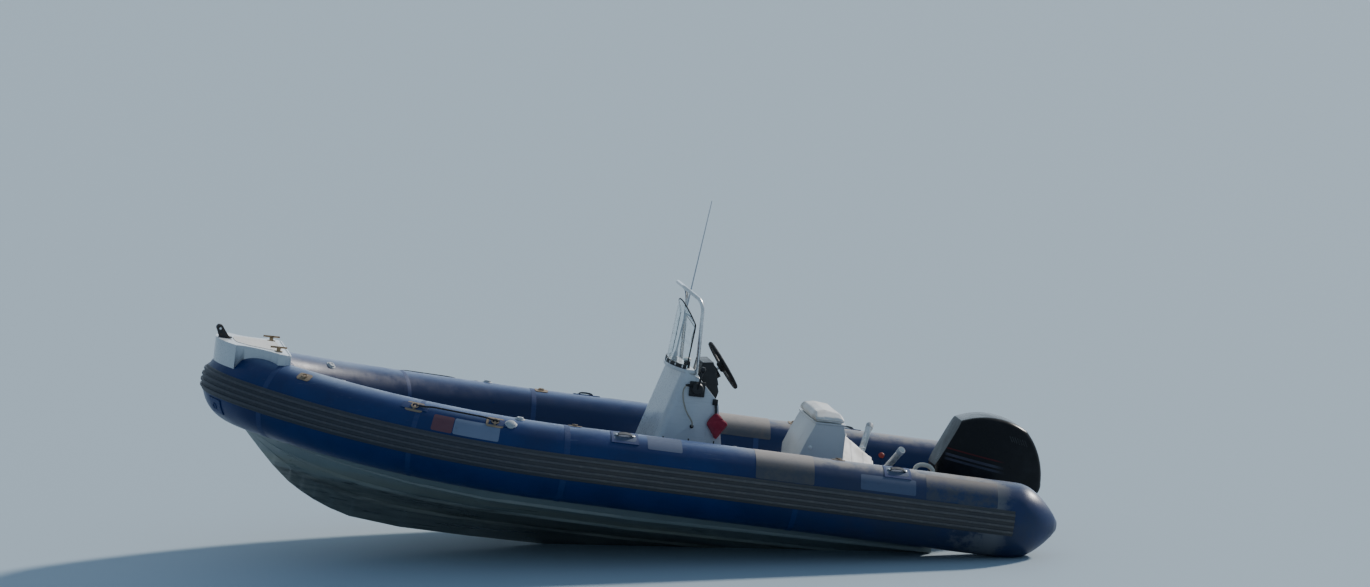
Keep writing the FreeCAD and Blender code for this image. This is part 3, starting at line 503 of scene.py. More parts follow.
# White gelcoat painted grey, partly stain and partly painted shade, over a bottom painted much darker, partly
# grime and partly painted shade of the underside, with a scum line and long run marks
def makeHullPaint():
    p = Paint("hullGelcoat", 0.3, coat=0.35, coatRoughness=0.2)
    spot = p.place()
    ahead, _, up = p.split(spot)
    streak = p.noise(p.place((1.6, 9, 26)), 1.0, 7, 0.62)
    cloud = p.noise(spot, 3.4, 5)
    chip = p.noise(spot, 46.0, 6, 0.7)
    line = p.add(p.calc("SUBTRACT", up, p.times(ahead, 0.066)), p.times(streak, 0.08))
    scum = p.times(p.rise(line, -0.14, -0.10), p.rise(line, -0.09, -0.03, 1.0, 0.0))
    # Gelcoat tone painted grey: partly stain, partly painted shade
    tone = p.mix(p.rise(cloud, 0.3, 0.7, 0.0, 0.5), (0.27, 0.315, 0.30), (0.21, 0.245, 0.235))
    # Below the slanting line the bottom is much darker: partly grime, partly painted shade of the underside
    grime = p.mix(p.rise(streak, 0.36, 0.68), (0.085, 0.093, 0.080), (0.21, 0.215, 0.18))
    tone = p.mix(p.rise(line, -0.165, -0.105, 1.0, 0.0), tone, grime)
    tone = p.mix(p.times(scum, 0.55), tone, (0.30, 0.29, 0.20))
    tone = p.mix(p.rise(chip, 0.66, 0.74, 0.0, 0.5), tone, (0.12, 0.12, 0.11))
    return p.finish(tone, p.rise(streak, 0.3, 0.7, 0.24, 0.5), [(cloud, 0.006, 0.1), (chip, 0.0006, 0.2)])


# Non-slip gelcoat: raised grains, with dirt trodden in between them
def makeSolePaint():
    p = Paint("soleNonslip", 0.6)
    spot = p.place()
    grains = p.cells(spot, 240.0)
    tone = p.mix(p.rise(p.noise(spot, 2.6, 6, 0.6), 0.35, 0.7), (0.56, 0.57, 0.56), (0.38, 0.385, 0.37))
    tone = p.mix(p.rise(grains, 0.28, 0.55, 0.0, 0.5), tone, (0.20, 0.20, 0.19))
    return p.finish(tone, None, [(p.rise(grains, 0.5, 0.15), 0.0012, 0.7)])


# Clear acrylic with a faint smoke tint and dried spray
def makeScreenPaint():
    p = Paint("screenAcrylic", 0.03)
    p.shader["Transmission Weight"].default_value = 1.0
    p.shader["IOR"].default_value = 1.12
    haze = p.noise(p.place(), 24.0, 6, 0.7)
    tone = p.mix(p.rise(haze, 0.35, 0.75), (0.90, 0.94, 0.95), (0.76, 0.81, 0.83))
    return p.finish(tone, p.rise(haze, 0.52, 0.75, 0.02, 0.22))


# Black engine lacquer with three worn stripes along its sides, and dried salt on top
cowlStripes = {"line": (0.345, 0.154, 1.9), "from": (-2.26, -2.16), "to": (-1.86, -1.83), "rows": (
    (0.210, 0.005, (0.110, 0.012, 0.016)), (0.170, 0.009, (0.085, 0.085, 0.115)),
    (0.140, 0.008, (0.070, 0.072, 0.100)))}


def makeCowlPaint():
    p = Paint("cowlLacquer", 0.34, coat=0.06, coatRoughness=0.20, specular=0.16)
    spot = p.place()
    ahead, _, up = p.split(spot)
    base, slope, back = cowlStripes["line"]
    height = p.calc("SUBTRACT", p.calc("SUBTRACT", up, p.times(p.add(ahead, back), slope)), base)
    ends = p.times(p.rise(ahead, *cowlStripes["from"]), p.rise(ahead, *cowlStripes["to"], 1.0, 0.0))
    sideways = p.calc("ABSOLUTE", p.split(p.node("NewGeometry")["Normal"])[1])
    flank = p.times(p.rise(sideways, 0.70, 0.82), ends)
    dust = p.noise(spot, 6.0, 7, 0.65)
    tone = p.mix(p.rise(dust, 0.45, 0.8, 0.0, 0.5), (0.010, 0.010, 0.012), (0.036, 0.036, 0.040))
    tone = p.mix(p.rise(p.cells(spot, 95.0), 0.10, 0.04, 0.0, 0.35), tone, (0.10, 0.105, 0.11))
    for level, half, colour in cowlStripes["rows"]:
        off = p.calc("ABSOLUTE", p.calc("SUBTRACT", height, level))
        stripe = p.times(p.rise(off, half * 0.85, half * 1.15, 1.0, 0.0), flank)
        tone = p.mix(p.times(stripe, p.rise(dust, 0.3, 0.6, 1.0, 0.7)), tone, colour)
    return p.finish(tone, p.rise(dust, 0.3, 0.75, 0.24, 0.42), [(dust, 0.0012, 0.06)])


# Woven cloth, bleached in clouds and soiled in its hollows
def cloth(name, colour, faded, pitch=1500.0):
    p = Paint(name, 0.85, sheen=0.25)
    spot = p.place()
    cloud = p.noise(spot, 7.0, 6, 0.6)
    weave = p.times(*[p.node("TexWave", {"bands_direction": way}, Vector=spot, Scale=pitch / 20)["Fac"]
                      for way in "XZ"])
    tone = p.mix(p.rise(cloud, 0.36, 0.7), colour, faded)
    tone = p.mix(p.rise(weave, 0.0, 0.6, 0.25, 0.0), tone, [c * 0.45 for c in colour])
    return p.finish(tone, None, [(weave, 0.0006, 0.5), (cloud, 0.003, 0.15)])


# Grained marine vinyl: pebbled, crazed with fine creases and soiled in clouds
def vinyl(name, colour, soiled):
    p = Paint(name, 0.5, coat=0.06, coatRoughness=0.4)
    spot = p.place()
    cloud = p.noise(spot, 5.5, 6, 0.62)
    crease = p.noise(p.place((14, 5, 14)), 1.0, 4, 0.6)
    tone = p.mix(p.rise(cloud, 0.42, 0.75), colour, soiled)
    return p.finish(tone, p.rise(cloud, 0.3, 0.7, 0.42, 0.6),
                    [(p.cells(spot, 420.0), 0.0005, 0.4), (crease, 0.004, 0.18)])


# Laid or braided line, its strands turning round it
def cordage(name, colour, dark, pitch=90.0):
    p = Paint(name, 0.85)
    spot = p.place((1, 1, 1), (0.6, 0.4, 0.7))
    lay = p.node("TexWave", {"bands_direction": "X"}, Vector=spot, Scale=pitch, Distortion=1.5)["Fac"]
    tone = p.mix(p.rise(lay, 0.1, 0.8), dark, colour)
    worn = [min(1, c * 1.8 + 0.02) for c in colour]
    tone = p.mix(p.rise(p.noise(spot, 60.0, 4), 0.55, 0.75, 0.0, 0.5), tone, worn)
    return p.finish(tone, None, [(lay, 0.0015, 0.6)])


# Moulded paints: name, colour, grime, roughness, dirt, grain
# Metals: name, colour, roughness, marks, colour of the marks
paints = {
    "tube": makeTubePaint(),
    "strake": makeStrakePaint(),
    "hull": makeHullPaint(),
    "sole": makeSolePaint(),
    "screen": makeScreenPaint(),
    "cowl": makeCowlPaint(),
    "white": moulded("whiteGelcoat", (0.76, 0.78, 0.77), (0.36, 0.35, 0.30), 0.3, 0.45, 420, 0.3, 0.0003),
    "seatShell": moulded("seatGelcoat", (0.66, 0.67, 0.66), (0.28, 0.27, 0.23), 0.38,
                         0.5, 420, 0.2, 0.0003),
    "deck": moulded("bowDeck", (0.78, 0.75, 0.68), (0.30, 0.27, 0.20), 0.55, 0.6, 300, relief=0.0009),
    "blackPlastic": moulded("blackPlastic", (0.016, 0.016, 0.018), (0.10, 0.10, 0.095), 0.42,
                            0.35, 900, shade=0.7),
    "greyPlastic": moulded("greyPlastic", (0.48, 0.50, 0.51), (0.25, 0.24, 0.21), 0.45, 0.45, 800),
    "rubber": moulded("blackRubber", (0.022, 0.022, 0.024), (0.12, 0.115, 0.105), 0.7,
                      0.55, 700, relief=0.0008, shade=0.6),
    "engine": moulded("engineEnamel", (0.020, 0.021, 0.024), (0.15, 0.15, 0.14), 0.32,
                      0.4, 300, 0.3, shade=0.6),
    "patchGrey": chafed("chafeRubber", (0.064, 0.068, 0.086), (0.40, 0.345, 0.30), (0.100, 0.094, 0.096)),
    "patchWorn": chafed("wornFabric", (0.058, 0.064, 0.088), (0.28, 0.235, 0.20), (0.020, 0.042, 0.120)),
    "patchNavy": chafed("navyPatch", (0.022, 0.045, 0.115), (0.11, 0.14, 0.21), (0.045, 0.055, 0.090)),
    "tape": moulded("seamTape", (0.008, 0.033, 0.138), (0.03, 0.055, 0.13), 0.50, 0.5, 700, cloud=9.0),
    "patchTan": moulded("tanRubber", (0.34, 0.25, 0.16), (0.16, 0.12, 0.09), 0.65, 0.8, 500, cloud=12.0),
    "panelBlue": moulded("bluePanel", (0.085, 0.115, 0.195), (0.05, 0.06, 0.09), 0.5, 0.5, 600, cloud=9.0),
    "panelPale": moulded("blankPanel", (0.20, 0.245, 0.345), (0.10, 0.11, 0.14), 0.5, 0.6, 600, cloud=8.0),
    "panelRed": moulded("redPanel", (0.155, 0.052, 0.070), (0.09, 0.07, 0.09), 0.5, 0.7, 600, cloud=8.0),
    "dial": moulded("dialFace", (0.012, 0.014, 0.016), (0.05, 0.05, 0.05), 0.12, 0.3, 900, 0.6, 0.0001),
    "whip": moulded("whipGlass", (0.62, 0.66, 0.70), (0.35, 0.35, 0.33), 0.4, 0.5, 500,
                    relief=0.0002, cloud=14.0),
    "catchWhite": moulded("catchWhite", (0.80, 0.80, 0.78), (0.40, 0.38, 0.33), 0.35,
                          0.4, 700, 0.2, 0.0002),
    "conduit": moulded("creamConduit", (0.78, 0.71, 0.57), (0.38, 0.33, 0.24), 0.5, 0.6, 600, relief=0.0003,
                       cloud=14.0),
    "capRed": moulded("redCap", (0.34, 0.040, 0.026), (0.14, 0.05, 0.04), 0.45, 0.5, 700, cloud=12.0),
    "stainless": metal("stainless", (0.72, 0.73, 0.74), 0.2, 0.5, (0.40, 0.39, 0.37)),
    "blackSteel": metal("paintedSteel", (0.030, 0.030, 0.033), 0.45, 0.6, (0.16, 0.09, 0.05), 0.3),
    "bronze": metal("weatheredBronze", (0.36, 0.255, 0.155), 0.42, 0.75, (0.07, 0.05, 0.035)),
    "prop": metal("propellerEnamel", (0.05, 0.052, 0.056), 0.35, 0.7, (0.36, 0.35, 0.33), 0.6),
    "satinSteel": metal("satinSteel", (0.62, 0.64, 0.66), 0.34, 0.6, (0.34, 0.33, 0.31), 0.85),
    "zinc": metal("zincAnode", (0.42, 0.42, 0.41), 0.6, 0.9, (0.62, 0.61, 0.58), 0.5),
    "piping": vinyl("creamPiping", (0.74, 0.70, 0.62), (0.52, 0.47, 0.39)),
    "cushion": vinyl("creamVinyl", (0.88, 0.86, 0.81), (0.70, 0.65, 0.56)),
    "bagEdge": cloth("crimsonBinding", (0.22, 0.008, 0.022), (0.30, 0.03, 0.05), 2400.0),
    "bag": cloth("crimsonCloth", (0.38, 0.012, 0.040), (0.50, 0.06, 0.09)),
    "webbing": cloth("webbing", (0.05, 0.05, 0.055), (0.12, 0.12, 0.12), 2400.0),
    "rope": cordage("blackLine", (0.030, 0.030, 0.034), (0.006, 0.006, 0.008)),
    "cable": cordage("creamLine", (0.62, 0.56, 0.44), (0.34, 0.30, 0.22), 120.0),
}
print("materials made:", len(paints))


# The collar's path: a straight run, the long tipped bend and the nose bend, as in the frame
collar = {"radius": 0.25, "half": 0.95, "tipX": -2.48, "tipZ": 0.209, "rise": 1.65, "bendX": 0.81,
          "turn": 36.5, "tilt": 10.0, "noseBend": 0.403, "tipRadius": 0.035, "cone": 0.30}


def collarPath():
    rising, turn, tilt = (math.radians(collar[key]) for key in ("rise", "turn", "tilt"))
    base = Matrix.Rotation(-rising, 4, "Y")
    along = base @ Vector((1, 0, 0))
    tip = Vector((collar["tipX"], collar["half"], collar["tipZ"]))
    straight = (collar["bendX"] - collar["tipX"]) / math.cos(rising)
    way = Vector((math.cos(turn), -math.sin(turn) * math.cos(tilt), math.sin(turn) * math.sin(tilt)))
    span = collar["noseBend"] * math.sin(math.acos(-way.y))
    bend = (collar["half"] - span) / ((1 - math.cos(turn)) * math.cos(tilt))
    inward = base @ Vector((0, -math.cos(tilt), math.sin(tilt)))
    start = Matrix.Translation(tip + along * straight) @ base
    fore = {"start": start, "centre": start.translation + inward * bend, "axis": along.cross(inward),
            "radius": bend, "length": bend * turn}
    end = turned(fore, fore["length"])
    heading = end.to_3x3() @ Vector((1, 0, 0))
    inboard = Vector((0, -1, 0))
    axis = heading.cross(inboard).normalized()
    nose = {"start": end,
            "centre": end.translation + axis.cross(heading) * collar["noseBend"], "axis": axis,
            "radius": collar["noseBend"], "length": collar["noseBend"] * heading.angle(inboard)}
    return {"tip": Matrix.Translation(tip) @ base, "straight": straight, "fore": fore, "nose": nose}


def turned(run, distance):
    there = Matrix.Translation(run["centre"])
    return there @ Matrix.Rotation(distance / run["radius"], 4,
                                   run["axis"]) @ there.inverted() @ run["start"]


path = collarPath()
foreStart = path["straight"]
noseStart = foreStart + path["fore"]["length"]
bowMiddle = noseStart + path["nose"]["length"]


# The collar's frame at a distance from its after tip: x along, y outboard, z up
def frameAt(distance):
    if distance <= foreStart:
        return path["tip"] @ Matrix.Translation((distance, 0, 0))
    if distance <= noseStart:
        return turned(path["fore"], distance - foreStart)
    return turned(path["nose"], distance - noseStart)


# Distance along the collar of a place on its straight run
def atX(x):
    return (x - collar["tipX"]) / math.cos(math.radians(collar["rise"]))


# The tube's radius, smaller toward the after tip in one round sweep
def tubeRadius(distance):
    share = min(1, max(0, distance / collar["cone"]))
    grown = math.sin(share * math.pi / 2) ** 0.86
    return collar["tipRadius"] + (collar["radius"] - collar["tipRadius"]) * grown


# Lays flat work on the tube: x is the distance along, y the way round from outboard, z the height
def wrap(form):
    radius = collar["radius"]
    for vert in form.verts:
        angle, high = vert.co.y / radius, radius + vert.co.z
        vert.co = frameAt(vert.co.x) @ Vector((0, high * math.cos(angle), high * math.sin(angle)))


def arcLength(degrees):
    return math.radians(degrees) * collar["radius"]


# A flat panel with round corners, cut fine enough to be wrapped; low and high in degrees
def addPanel(form, x0, x1, low, high, thick, corner=0.02):
    before = set(form.verts)
    y0, y1 = arcLength(low), arcLength(high)
    made = bmesh.ops.create_cube(form, size=1)["verts"]
    bmesh.ops.scale(form, vec=(x1 - x0, y1 - y0, thick), verts=made)
    upright = {edge for vert in made for edge in vert.link_edges
               if abs((edge.verts[0].co - edge.verts[1].co).z) > thick * 0.5}
    bevel(form, list(upright), corner, 5)
    made = since(form, before)
    bmesh.ops.translate(form, vec=((x0 + x1) / 2, (y0 + y1) / 2, thick / 2), verts=made)
    cutApart(form, made, (1, 0, 0), x0, x1, 0.04)
    cutApart(form, since(form, before), (0, 1, 0), y0, y1, 0.016)


# Cuts a part of the form across, every step
def cutApart(form, verts, way, low, high, step):
    chosen = set(verts)
    count = int((high - low) / step)
    for k in range(1, count + 1):
        here = low + (high - low) * k / (count + 1)
        faces = [face for face in form.faces if all(vert in chosen for vert in face.verts)]
        parts = {part for face in faces for part in list(face.edges) + list(face.verts)}
        cut = bmesh.ops.bisect_plane(form, geom=faces + list(parts), dist=1e-6,
                                     plane_co=[w * here for w in way], plane_no=way)
        chosen |= set(picked(cut["geom_cut"], BMVert))


# Free cords, along the same points as in the frame's source
cords = {
    "lifeline": {"radius": 0.006, "length": 0.546, "paint": "rope", "stiffness": "limp",
                 "lay": "taut", "route": [
        (1.282, 1.047, 0.5504), (1.326, 1.0405, 0.5534), (1.373, 1.038, 0.566), (1.465, 1.022, 0.5725),
        (1.550, 1.003, 0.578), (1.634, 0.983, 0.584), (1.722, 0.959, 0.590), (1.766, 0.9405, 0.5835),
        (1.811, 0.9265, 0.587)]},
    "cable": {"radius": 0.005, "length": 0.331, "paint": "cable", "stiffness": "medium",
              "lay": "hanging", "route": [
        (-0.030, 0.428, 0.838), (-0.008, 0.428, 0.838), (0.012, 0.429, 0.812), (0.010, 0.430, 0.752),
        (-0.022, 0.430, 0.662), (-0.072, 0.430, 0.600), (-0.075, 0.425, 0.566), (-0.075, 0.4063, 0.565)]},
}


def addCord(name, node, look, hand=1):
    route = [(x, y * hand, z) for x, y, z in look["route"]]
    line = addLine(name, route, look["radius"], 12, smoothness=12)
    line.data.materials.append(paints[look["paint"]])
    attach(line, "boat")
    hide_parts(node)


for hand, side in hands:
    addCord("lifeline_rope_" + side, "lifeline_" + side, cords["lifeline"], hand)
addCord("throttle_cable", "control_cable", cords["cable"])
print("cords made")


# Rings round the collar at (distance, radius) rows; each keeps its place on the skin for the material
def sweepRows(rows, around=96, capped=(True, True)):
    form = bmesh.new()
    layer = form.verts.layers.float_vector.new("skin")
    distance, radius = rows[0]
    here = frameAt(distance)
    verts = bmesh.ops.create_circle(form, segments=around, radius=radius)["verts"]
    bmesh.ops.transform(form, matrix=here @ Matrix.Rotation(math.pi / 2, 4, "Y"), verts=verts)
    edges = list(form.edges)
    ends = [edges]
    for k, (distance, grown) in enumerate(rows):
        there = frameAt(distance)
        if k:
            made = bmesh.ops.extrude_edge_only(form, edges=edges)["geom"]
            verts, edges = picked(made, BMVert), picked(made, BMEdge)
            scale = Matrix.Diagonal((1, grown / radius, grown / radius, 1))
            bmesh.ops.transform(form, matrix=there @ scale @ here.inverted(), verts=verts)
        inverse = there.inverted()
        for vert in verts:
            flat = (inverse @ vert.co).yz.normalized()
            vert[layer] = (distance, flat.x, flat.y)
        here, radius = there, grown
    for loop, cap in zip(ends + [edges], capped):
        if cap:
            bmesh.ops.contextual_create(form, geom=loop)
    return form


def tubeRows(start, end, step=0.03, plump=0.0012):
    count = max(2, round((end - start) / step))
    shares = [k / count for k in range(count + 1)]
    return [(start + (end - start) * t,
             tubeRadius(start + (end - start) * t) + plump * math.sin(math.pi * t))
            for t in shares]


def addCollar():
    middle = atX(-0.70)
    chambers = {"aft": (0.0, middle), "mid": (middle, foreStart), "fore": (foreStart, noseStart)}
    for part, ends in chambers.items():
        for hand, side in hands:
            settle(sweepRows(tubeRows(*ends)), "collar_%s_%s" % (part, side), "tube",
                   replaces=["tube_%s_%s" % (part, side)], hand=hand)
    form = sweepRows(tubeRows(noseStart, bowMiddle, 0.02, 0.0), capped=(True, False))
    addMirrored(form)
    settle(form, "collar_nose", "tube", replaces=["tube_nose"])


addCollar()
print("collar made")


# Seam tapes over the chamber joints, in metres along the collar, with their widths
seamLook = {"thick": 0.0014, "tuck": 0.002, "edge": 0.001,
            "places": ((atX(-0.70), 0.035), (foreStart + 0.03, 0.035), (foreStart + 0.98, 0.03),
                       (noseStart - 0.08, 0.035))}


def addSeams():
    thick, tuck, edge = (seamLook[key] for key in ("thick", "tuck", "edge"))
    whole = bmesh.new()
    whole.verts.layers.float_vector.new("skin")
    for distance, width in seamLook["places"]:
        skin, half = tubeRadius(distance), width / 2
        rows = [(distance + off, skin + high) for off, high in (
            (-half - edge, -tuck), (-half, thick), (0, thick * 1.2), (half, thick), (half + edge, -tuck))]
        for hand in (1, -1):
            form = sweepRows(rows, capped=(False, False))
            bmesh.ops.scale(form, vec=(1, hand, 1), verts=form.verts)
            bmesh.ops.recalc_face_normals(form, faces=form.faces)
            pour(form, whole)
    settle(whole, "collar_seam_tapes", "tape", clean=False)


addSeams()


# Rubbing strake: heights over the skin at places round it, drawn flat and laid along the tube
strakeLook = {"start": atX(-2.15), "low": -17.0, "high": 20.0, "ribs": 4, "base": 0.0083, "rib": 0.0101,
              "blend": 0.0028, "step": 0.03, "foot": 0.9, "tuck": 0.002, "slant": 0.25}


def strakeForm(start, end):
    look = strakeLook
    form = bmesh.new()
    count = 2 * look["ribs"] + 1
    low, high, foot, tuck = (look[key] for key in ("low", "high", "foot", "tuck"))
    pace = (high - low) / count
    points = [(low - foot, -tuck), (low - foot, tuck)]
    for k in range(count):
        top = look["base"] + (look["rib"] if k % 2 else 0)
        inset = look["slant"] if k % 2 else -look["slant"]
        points += [(low + k * pace + inset * (k > 0), top),
                   (low + (k + 1) * pace - inset * (k < count - 1), top)]
    points += [(high + foot, tuck), (high + foot, -tuck)]
    verts = [form.verts.new((start, arcLength(degrees), top)) for degrees, top in points]
    for pair in zip(verts, verts[1:]):
        form.edges.new(pair)
    bevel(form, verts[1:-1], look["blend"], 2, "VERTICES")
    edges = list(form.edges)
    first = edges
    steps = max(2, round((end - start) / look["step"]))
    for k in range(steps):
        made = bmesh.ops.extrude_edge_only(form, edges=edges)["geom"]
        edges = picked(made, BMEdge)
        bmesh.ops.translate(form, vec=((end - start) / steps, 0, 0), verts=picked(made, BMVert))
    for loop in (first, edges):
        feet = {vert for edge in loop for vert in edge.verts
                if len(vert.link_edges) < 3 or vert.co.z < -0.001}
        tips = sorted(feet, key=lambda vert: vert.co.y)
        closing = form.edges.get((tips[0], tips[-1])) or form.edges.new((tips[0], tips[-1]))
        bmesh.ops.contextual_create(form, geom=loop + [closing])
    layer = form.verts.layers.float.new("rib")
    for vert in form.verts:
        vert[layer] = min(1, max(0, (vert.co.z - look["base"]) / look["rib"]))
    wrap(form)
    return form


for hand, side in hands:
    settle(strakeForm(strakeLook["start"], noseStart), "strake_ribbed_" + side, "strake",
           replaces=["strake_" + side], hand=hand, smooth=50)
noseStrake = strakeForm(noseStart, bowMiddle)
addMirrored(noseStrake)
settle(noseStrake, "strake_ribbed_nose", "strake", replaces=["strake_nose"], smooth=50)
print("strakes made")


# Glued patches and blank panels: from, to along the collar, low and high degrees, thickness, paint
panels = {
    "chafe_patch_1": (atX(-0.80), atX(-0.41), 21.5, 148, 0.0022, "patchGrey"),
    "name_panel_1": (foreStart + 0.455, foreStart + 0.741, 24, 52, 0.0016, "panelPale"),
    "name_panel_2": (foreStart + 0.746, foreStart + 0.877, 24, 52, 0.0016, "panelRed"),
    "quarter_panel_1": (atX(-1.48), atX(-1.11), 25, 52, 0.0016, "panelBlue"),
    "stern_patch_1": (atX(-2.03), atX(-1.55), 21.5, 70, 0.0018, "patchWorn"),
    # The knee panel is a pale panel on the tube's top that stands for a highlight there: a painted highlight
    "knee_highlight_panel_1": (atX(0.08), atX(0.31), 47, 90, 0.0016, "panelBlue"),
}
for name, (*extent, paint) in panels.items():
    for hand, side in hands:
        panel = bmesh.new()
        addPanel(panel, *extent, corner=0.012)
        wrap(panel)
        settle(panel, name + "_" + side, paint, hand=hand)
print("panels made")


# Handles, valves and lashing points on the tubes, modelled flat and laid on the skin
fittings = {
    "handles": [(atX(0.46), 70), (atX(-1.36), 70)],
    "handleSize": (0.15, 26, 0.0055), "grip": (0.115, 0.028, 0.026),
    "fillers": [(foreStart + 0.395, 60, 0.040)], "caps": [(atX(-1.574), 150, 0.020)],
    "valves": [(atX(-0.30), 118), (atX(-1.30), 118), (foreStart + 0.34, 84), (foreStart + 1.60, 118)],
    "valveRadius": 0.034,
    "rings": [(foreStart + 1.78, 62, 1.0), (atX(-0.98), 96, 1.0), (atX(0.78), 96, 1.0),
              (foreStart + 0.495, 59, 1.25), (foreStart + 1.015, 59, 1.25)],
}
kinds = {"handle_pads_": "patchNavy", "handle_grips_": "webbing", "handle_studs_": "stainless",
         "inflation_valves_": "greyPlastic", "relief_caps_": "capRed", "lashing_rings_": "patchTan"}


def addHandles(base, grips, studs):
    length, spread, thick = fittings["handleSize"]
    long, wide, high = fittings["grip"]
    for s, degrees in fittings["handles"]:
        y = arcLength(degrees)
        addPanel(base, s - length / 2, s + length / 2, degrees - spread / 2,
                 degrees + spread / 2, thick, 0.022)
        grip = bmesh.new()
        addStrap(grip, [(s + long * along, y, up) for along, up in (
            (-0.5, thick), (-0.36, high * 0.8), (0, high), (0.36, high * 0.8), (0.5, thick))],
                 wide, 0.005, (0, 1, 0))
        pour(grip, grips)
        for end in (-1, 1):
            addTurned(studs, mm(0, 0, 0, 10, 4, 10, 6, 6, 6, 0),
                      (s + end * (long / 2 - 0.004), y, thick + 0.003), around=16)


def addValves(valves, caps, rings):
    r = fittings["valveRadius"]
    for s, degrees in fittings["valves"]:
        y = arcLength(degrees)
        addTurned(valves, [(-0.001, 0), (-0.001, r), (0.003, r), (0.005, r * 0.92), (0.005, r * 0.72),
                           (0.012, r * 0.66), (0.015, r * 0.58), (0.015, r * 0.30),
                           (0.012, r * 0.26), (0.012, 0)],
                  (s, y, 0), around=36)
        for dx, dy in circle(8, r * 0.62):
            x0, y0 = s + dx, y + dy
            addBlock(valves, (x0 - 0.002, y0 - 0.002, 0.004), (x0 + 0.002, y0 + 0.002, 0.014), 0.0006, 1)
    for s, degrees, wide in fittings["fillers"]:
        addTurned(valves,
                  [(-0.001, 0), (-0.001, wide), (0.004, wide), (0.007, wide * 0.90), (0.007, wide * 0.78),
                   (0.016, wide * 0.70), (0.020, wide * 0.50), (0.021, 0)],
                  (s, arcLength(degrees), 0), around=40)
    for s, degrees, wide in fittings["caps"]:
        addTurned(caps, [(-0.001, 0), (-0.001, wide), (0.007, wide), (0.010, wide * 0.8), (0.011, 0)],
                  (s, arcLength(degrees), 0), around=28)
    for s, degrees, size in fittings["rings"]:
        y, wide = arcLength(degrees), 0.018 * size
        addPanel(rings, s - 0.045 * size, s + 0.045 * size, degrees - 9 * size,
                 degrees + 9 * size, 0.004, 0.018)
        addPipe(rings, [(s + dx, y + dy, 0.010) for dx, dy in circle(10, wide)],
                0.0035 * size, smoothness=4, cyclic=True)
        addBlock(rings, (s - 0.007, y - wide - 0.008, 0.003), (s + 0.007, y + 0.002, 0.013))


for hand, side in hands:
    forms = [bmesh.new() for kind in kinds]
    addHandles(*forms[:3])
    addValves(*forms[3:])
    for form, (name, paint) in zip(forms, kinds.items()):
        wrap(form)
        settle(form, name + side, paint, hand=hand)
settle(nodeForm("tube_handles"), "handle_underlays", "tape", replaces=["tube_handles"],
       slot="patch", clean=False)
print("tube fittings made")


# Hull, with its long chines and rails blended
def addHull():
    form = nodeForm("hull", 0)
    bevel(form, [edge for edge in hardEdges(form, 24)
                 if abs((edge.verts[0].co - edge.verts[1].co).normalized().x) > 0.6], 0.004)
    settle(form, "hull_moulding", "hull", replaces=["hull"], smooth=28, clean=False)


addHull()


# Flange from the hull's edge up past the sole and out under the tube: x, half width, chine and edge heights
gunwale = {"rows": ((-1.695, 0.800, -0.070, 0.030), (0.300, 0.800, -0.045, 0.030),
                    (1.260, 0.775, -0.010, 0.032), (1.740, 0.670, 0.030, 0.052),
                    (2.080, 0.545, 0.075, 0.092), (2.215, 0.482, 0.095, 0.113),
                    (2.330, 0.420, 0.115, 0.135), (2.420, 0.369, 0.134, 0.154),
                    (2.510, 0.315, 0.155, 0.175), (2.620, 0.246, 0.181, 0.199),
                    (2.720, 0.170, 0.205, 0.222), (2.850, 0.040, 0.242, 0.250)),
           "reach": 0.070, "high": 0.092}


def addGunwales():
    form = bmesh.new()
    loops = []
    for x, half, chine, edge in gunwale["rows"]:
        inner, outer, top = half + 0.0003, half + gunwale["reach"], edge + gunwale["high"]
        corners = [(half - 0.012, edge - 0.006), (inner, edge - 0.006), (inner, top), (outer, top),
                   (outer, edge + 0.045), (half - 0.012, chine + 0.004)]
        loops.append(list(form.faces.new([form.verts.new((x, y, z)) for y, z in corners]).edges))
    for near, far in zip(loops, loops[1:]):
        bmesh.ops.bridge_loops(form, edges=near + far)
    aft, fore = gunwale["rows"][0][0] + 0.01, gunwale["rows"][-1][0] - 0.01
    inside = [face for face in form.faces if face.normal.x and len(face.verts) > 4
              and aft < face.calc_center_median().x < fore]
    bmesh.ops.delete(form, geom=inside, context="FACES_ONLY")
    addMirrored(form)
    settle(form, "gunwale_flanges", "hull", smooth=25)


addGunwales()
dress("cockpit_sole", "sole", 0.003)
dress("transom", "white", 0.006, 3)


# On the transom: the engine's bolts, the plates of the towing eyes and the drains
transomLook = {"face": -1.7, "bolts": ((0.116, 0.12), (0.116, -0.08)), "eyes": (0.52, 0.11),
               "drain": (0.30, 0.057)}


def addTransomFittings():
    look = transomLook
    face = look["face"]
    form, spouts = bmesh.new(), bmesh.new()
    for hand in (1, -1):
        for y, z in look["bolts"]:
            addBolt(form, (face + 0.073, y * hand, z + 0.02), (1, 0, 0), 0.011, 0.012)
            addBolt(form, (face - 0.029, y * hand, z), (-1, 0, 0), 0.011, 0.010)
        y, z = look["eyes"][0] * hand, look["eyes"][1]
        addBlock(form, (face - 0.004, y - 0.03, z - 0.055), (face + 0.001, y + 0.03, z + 0.055))
        for up in (-1, 1):
            addBolt(form, (face - 0.004, y, z + 0.044 * up), (-1, 0, 0), 0.005, 0.005)
        y, z = look["drain"][0] * hand, look["drain"][1]
        addTurned(spouts, mm(0, 13, 0, 26, 6, 26, 22, 20, 22, 14, 0, 13),
                  (face, y, z), (-1, 0, 0), 24)
    settle(form, "transom_bolts", "stainless")
    settle(spouts, "scupper_spouts", "rubber")


addTransomFittings()
dress("towing_eyes", "stainless")


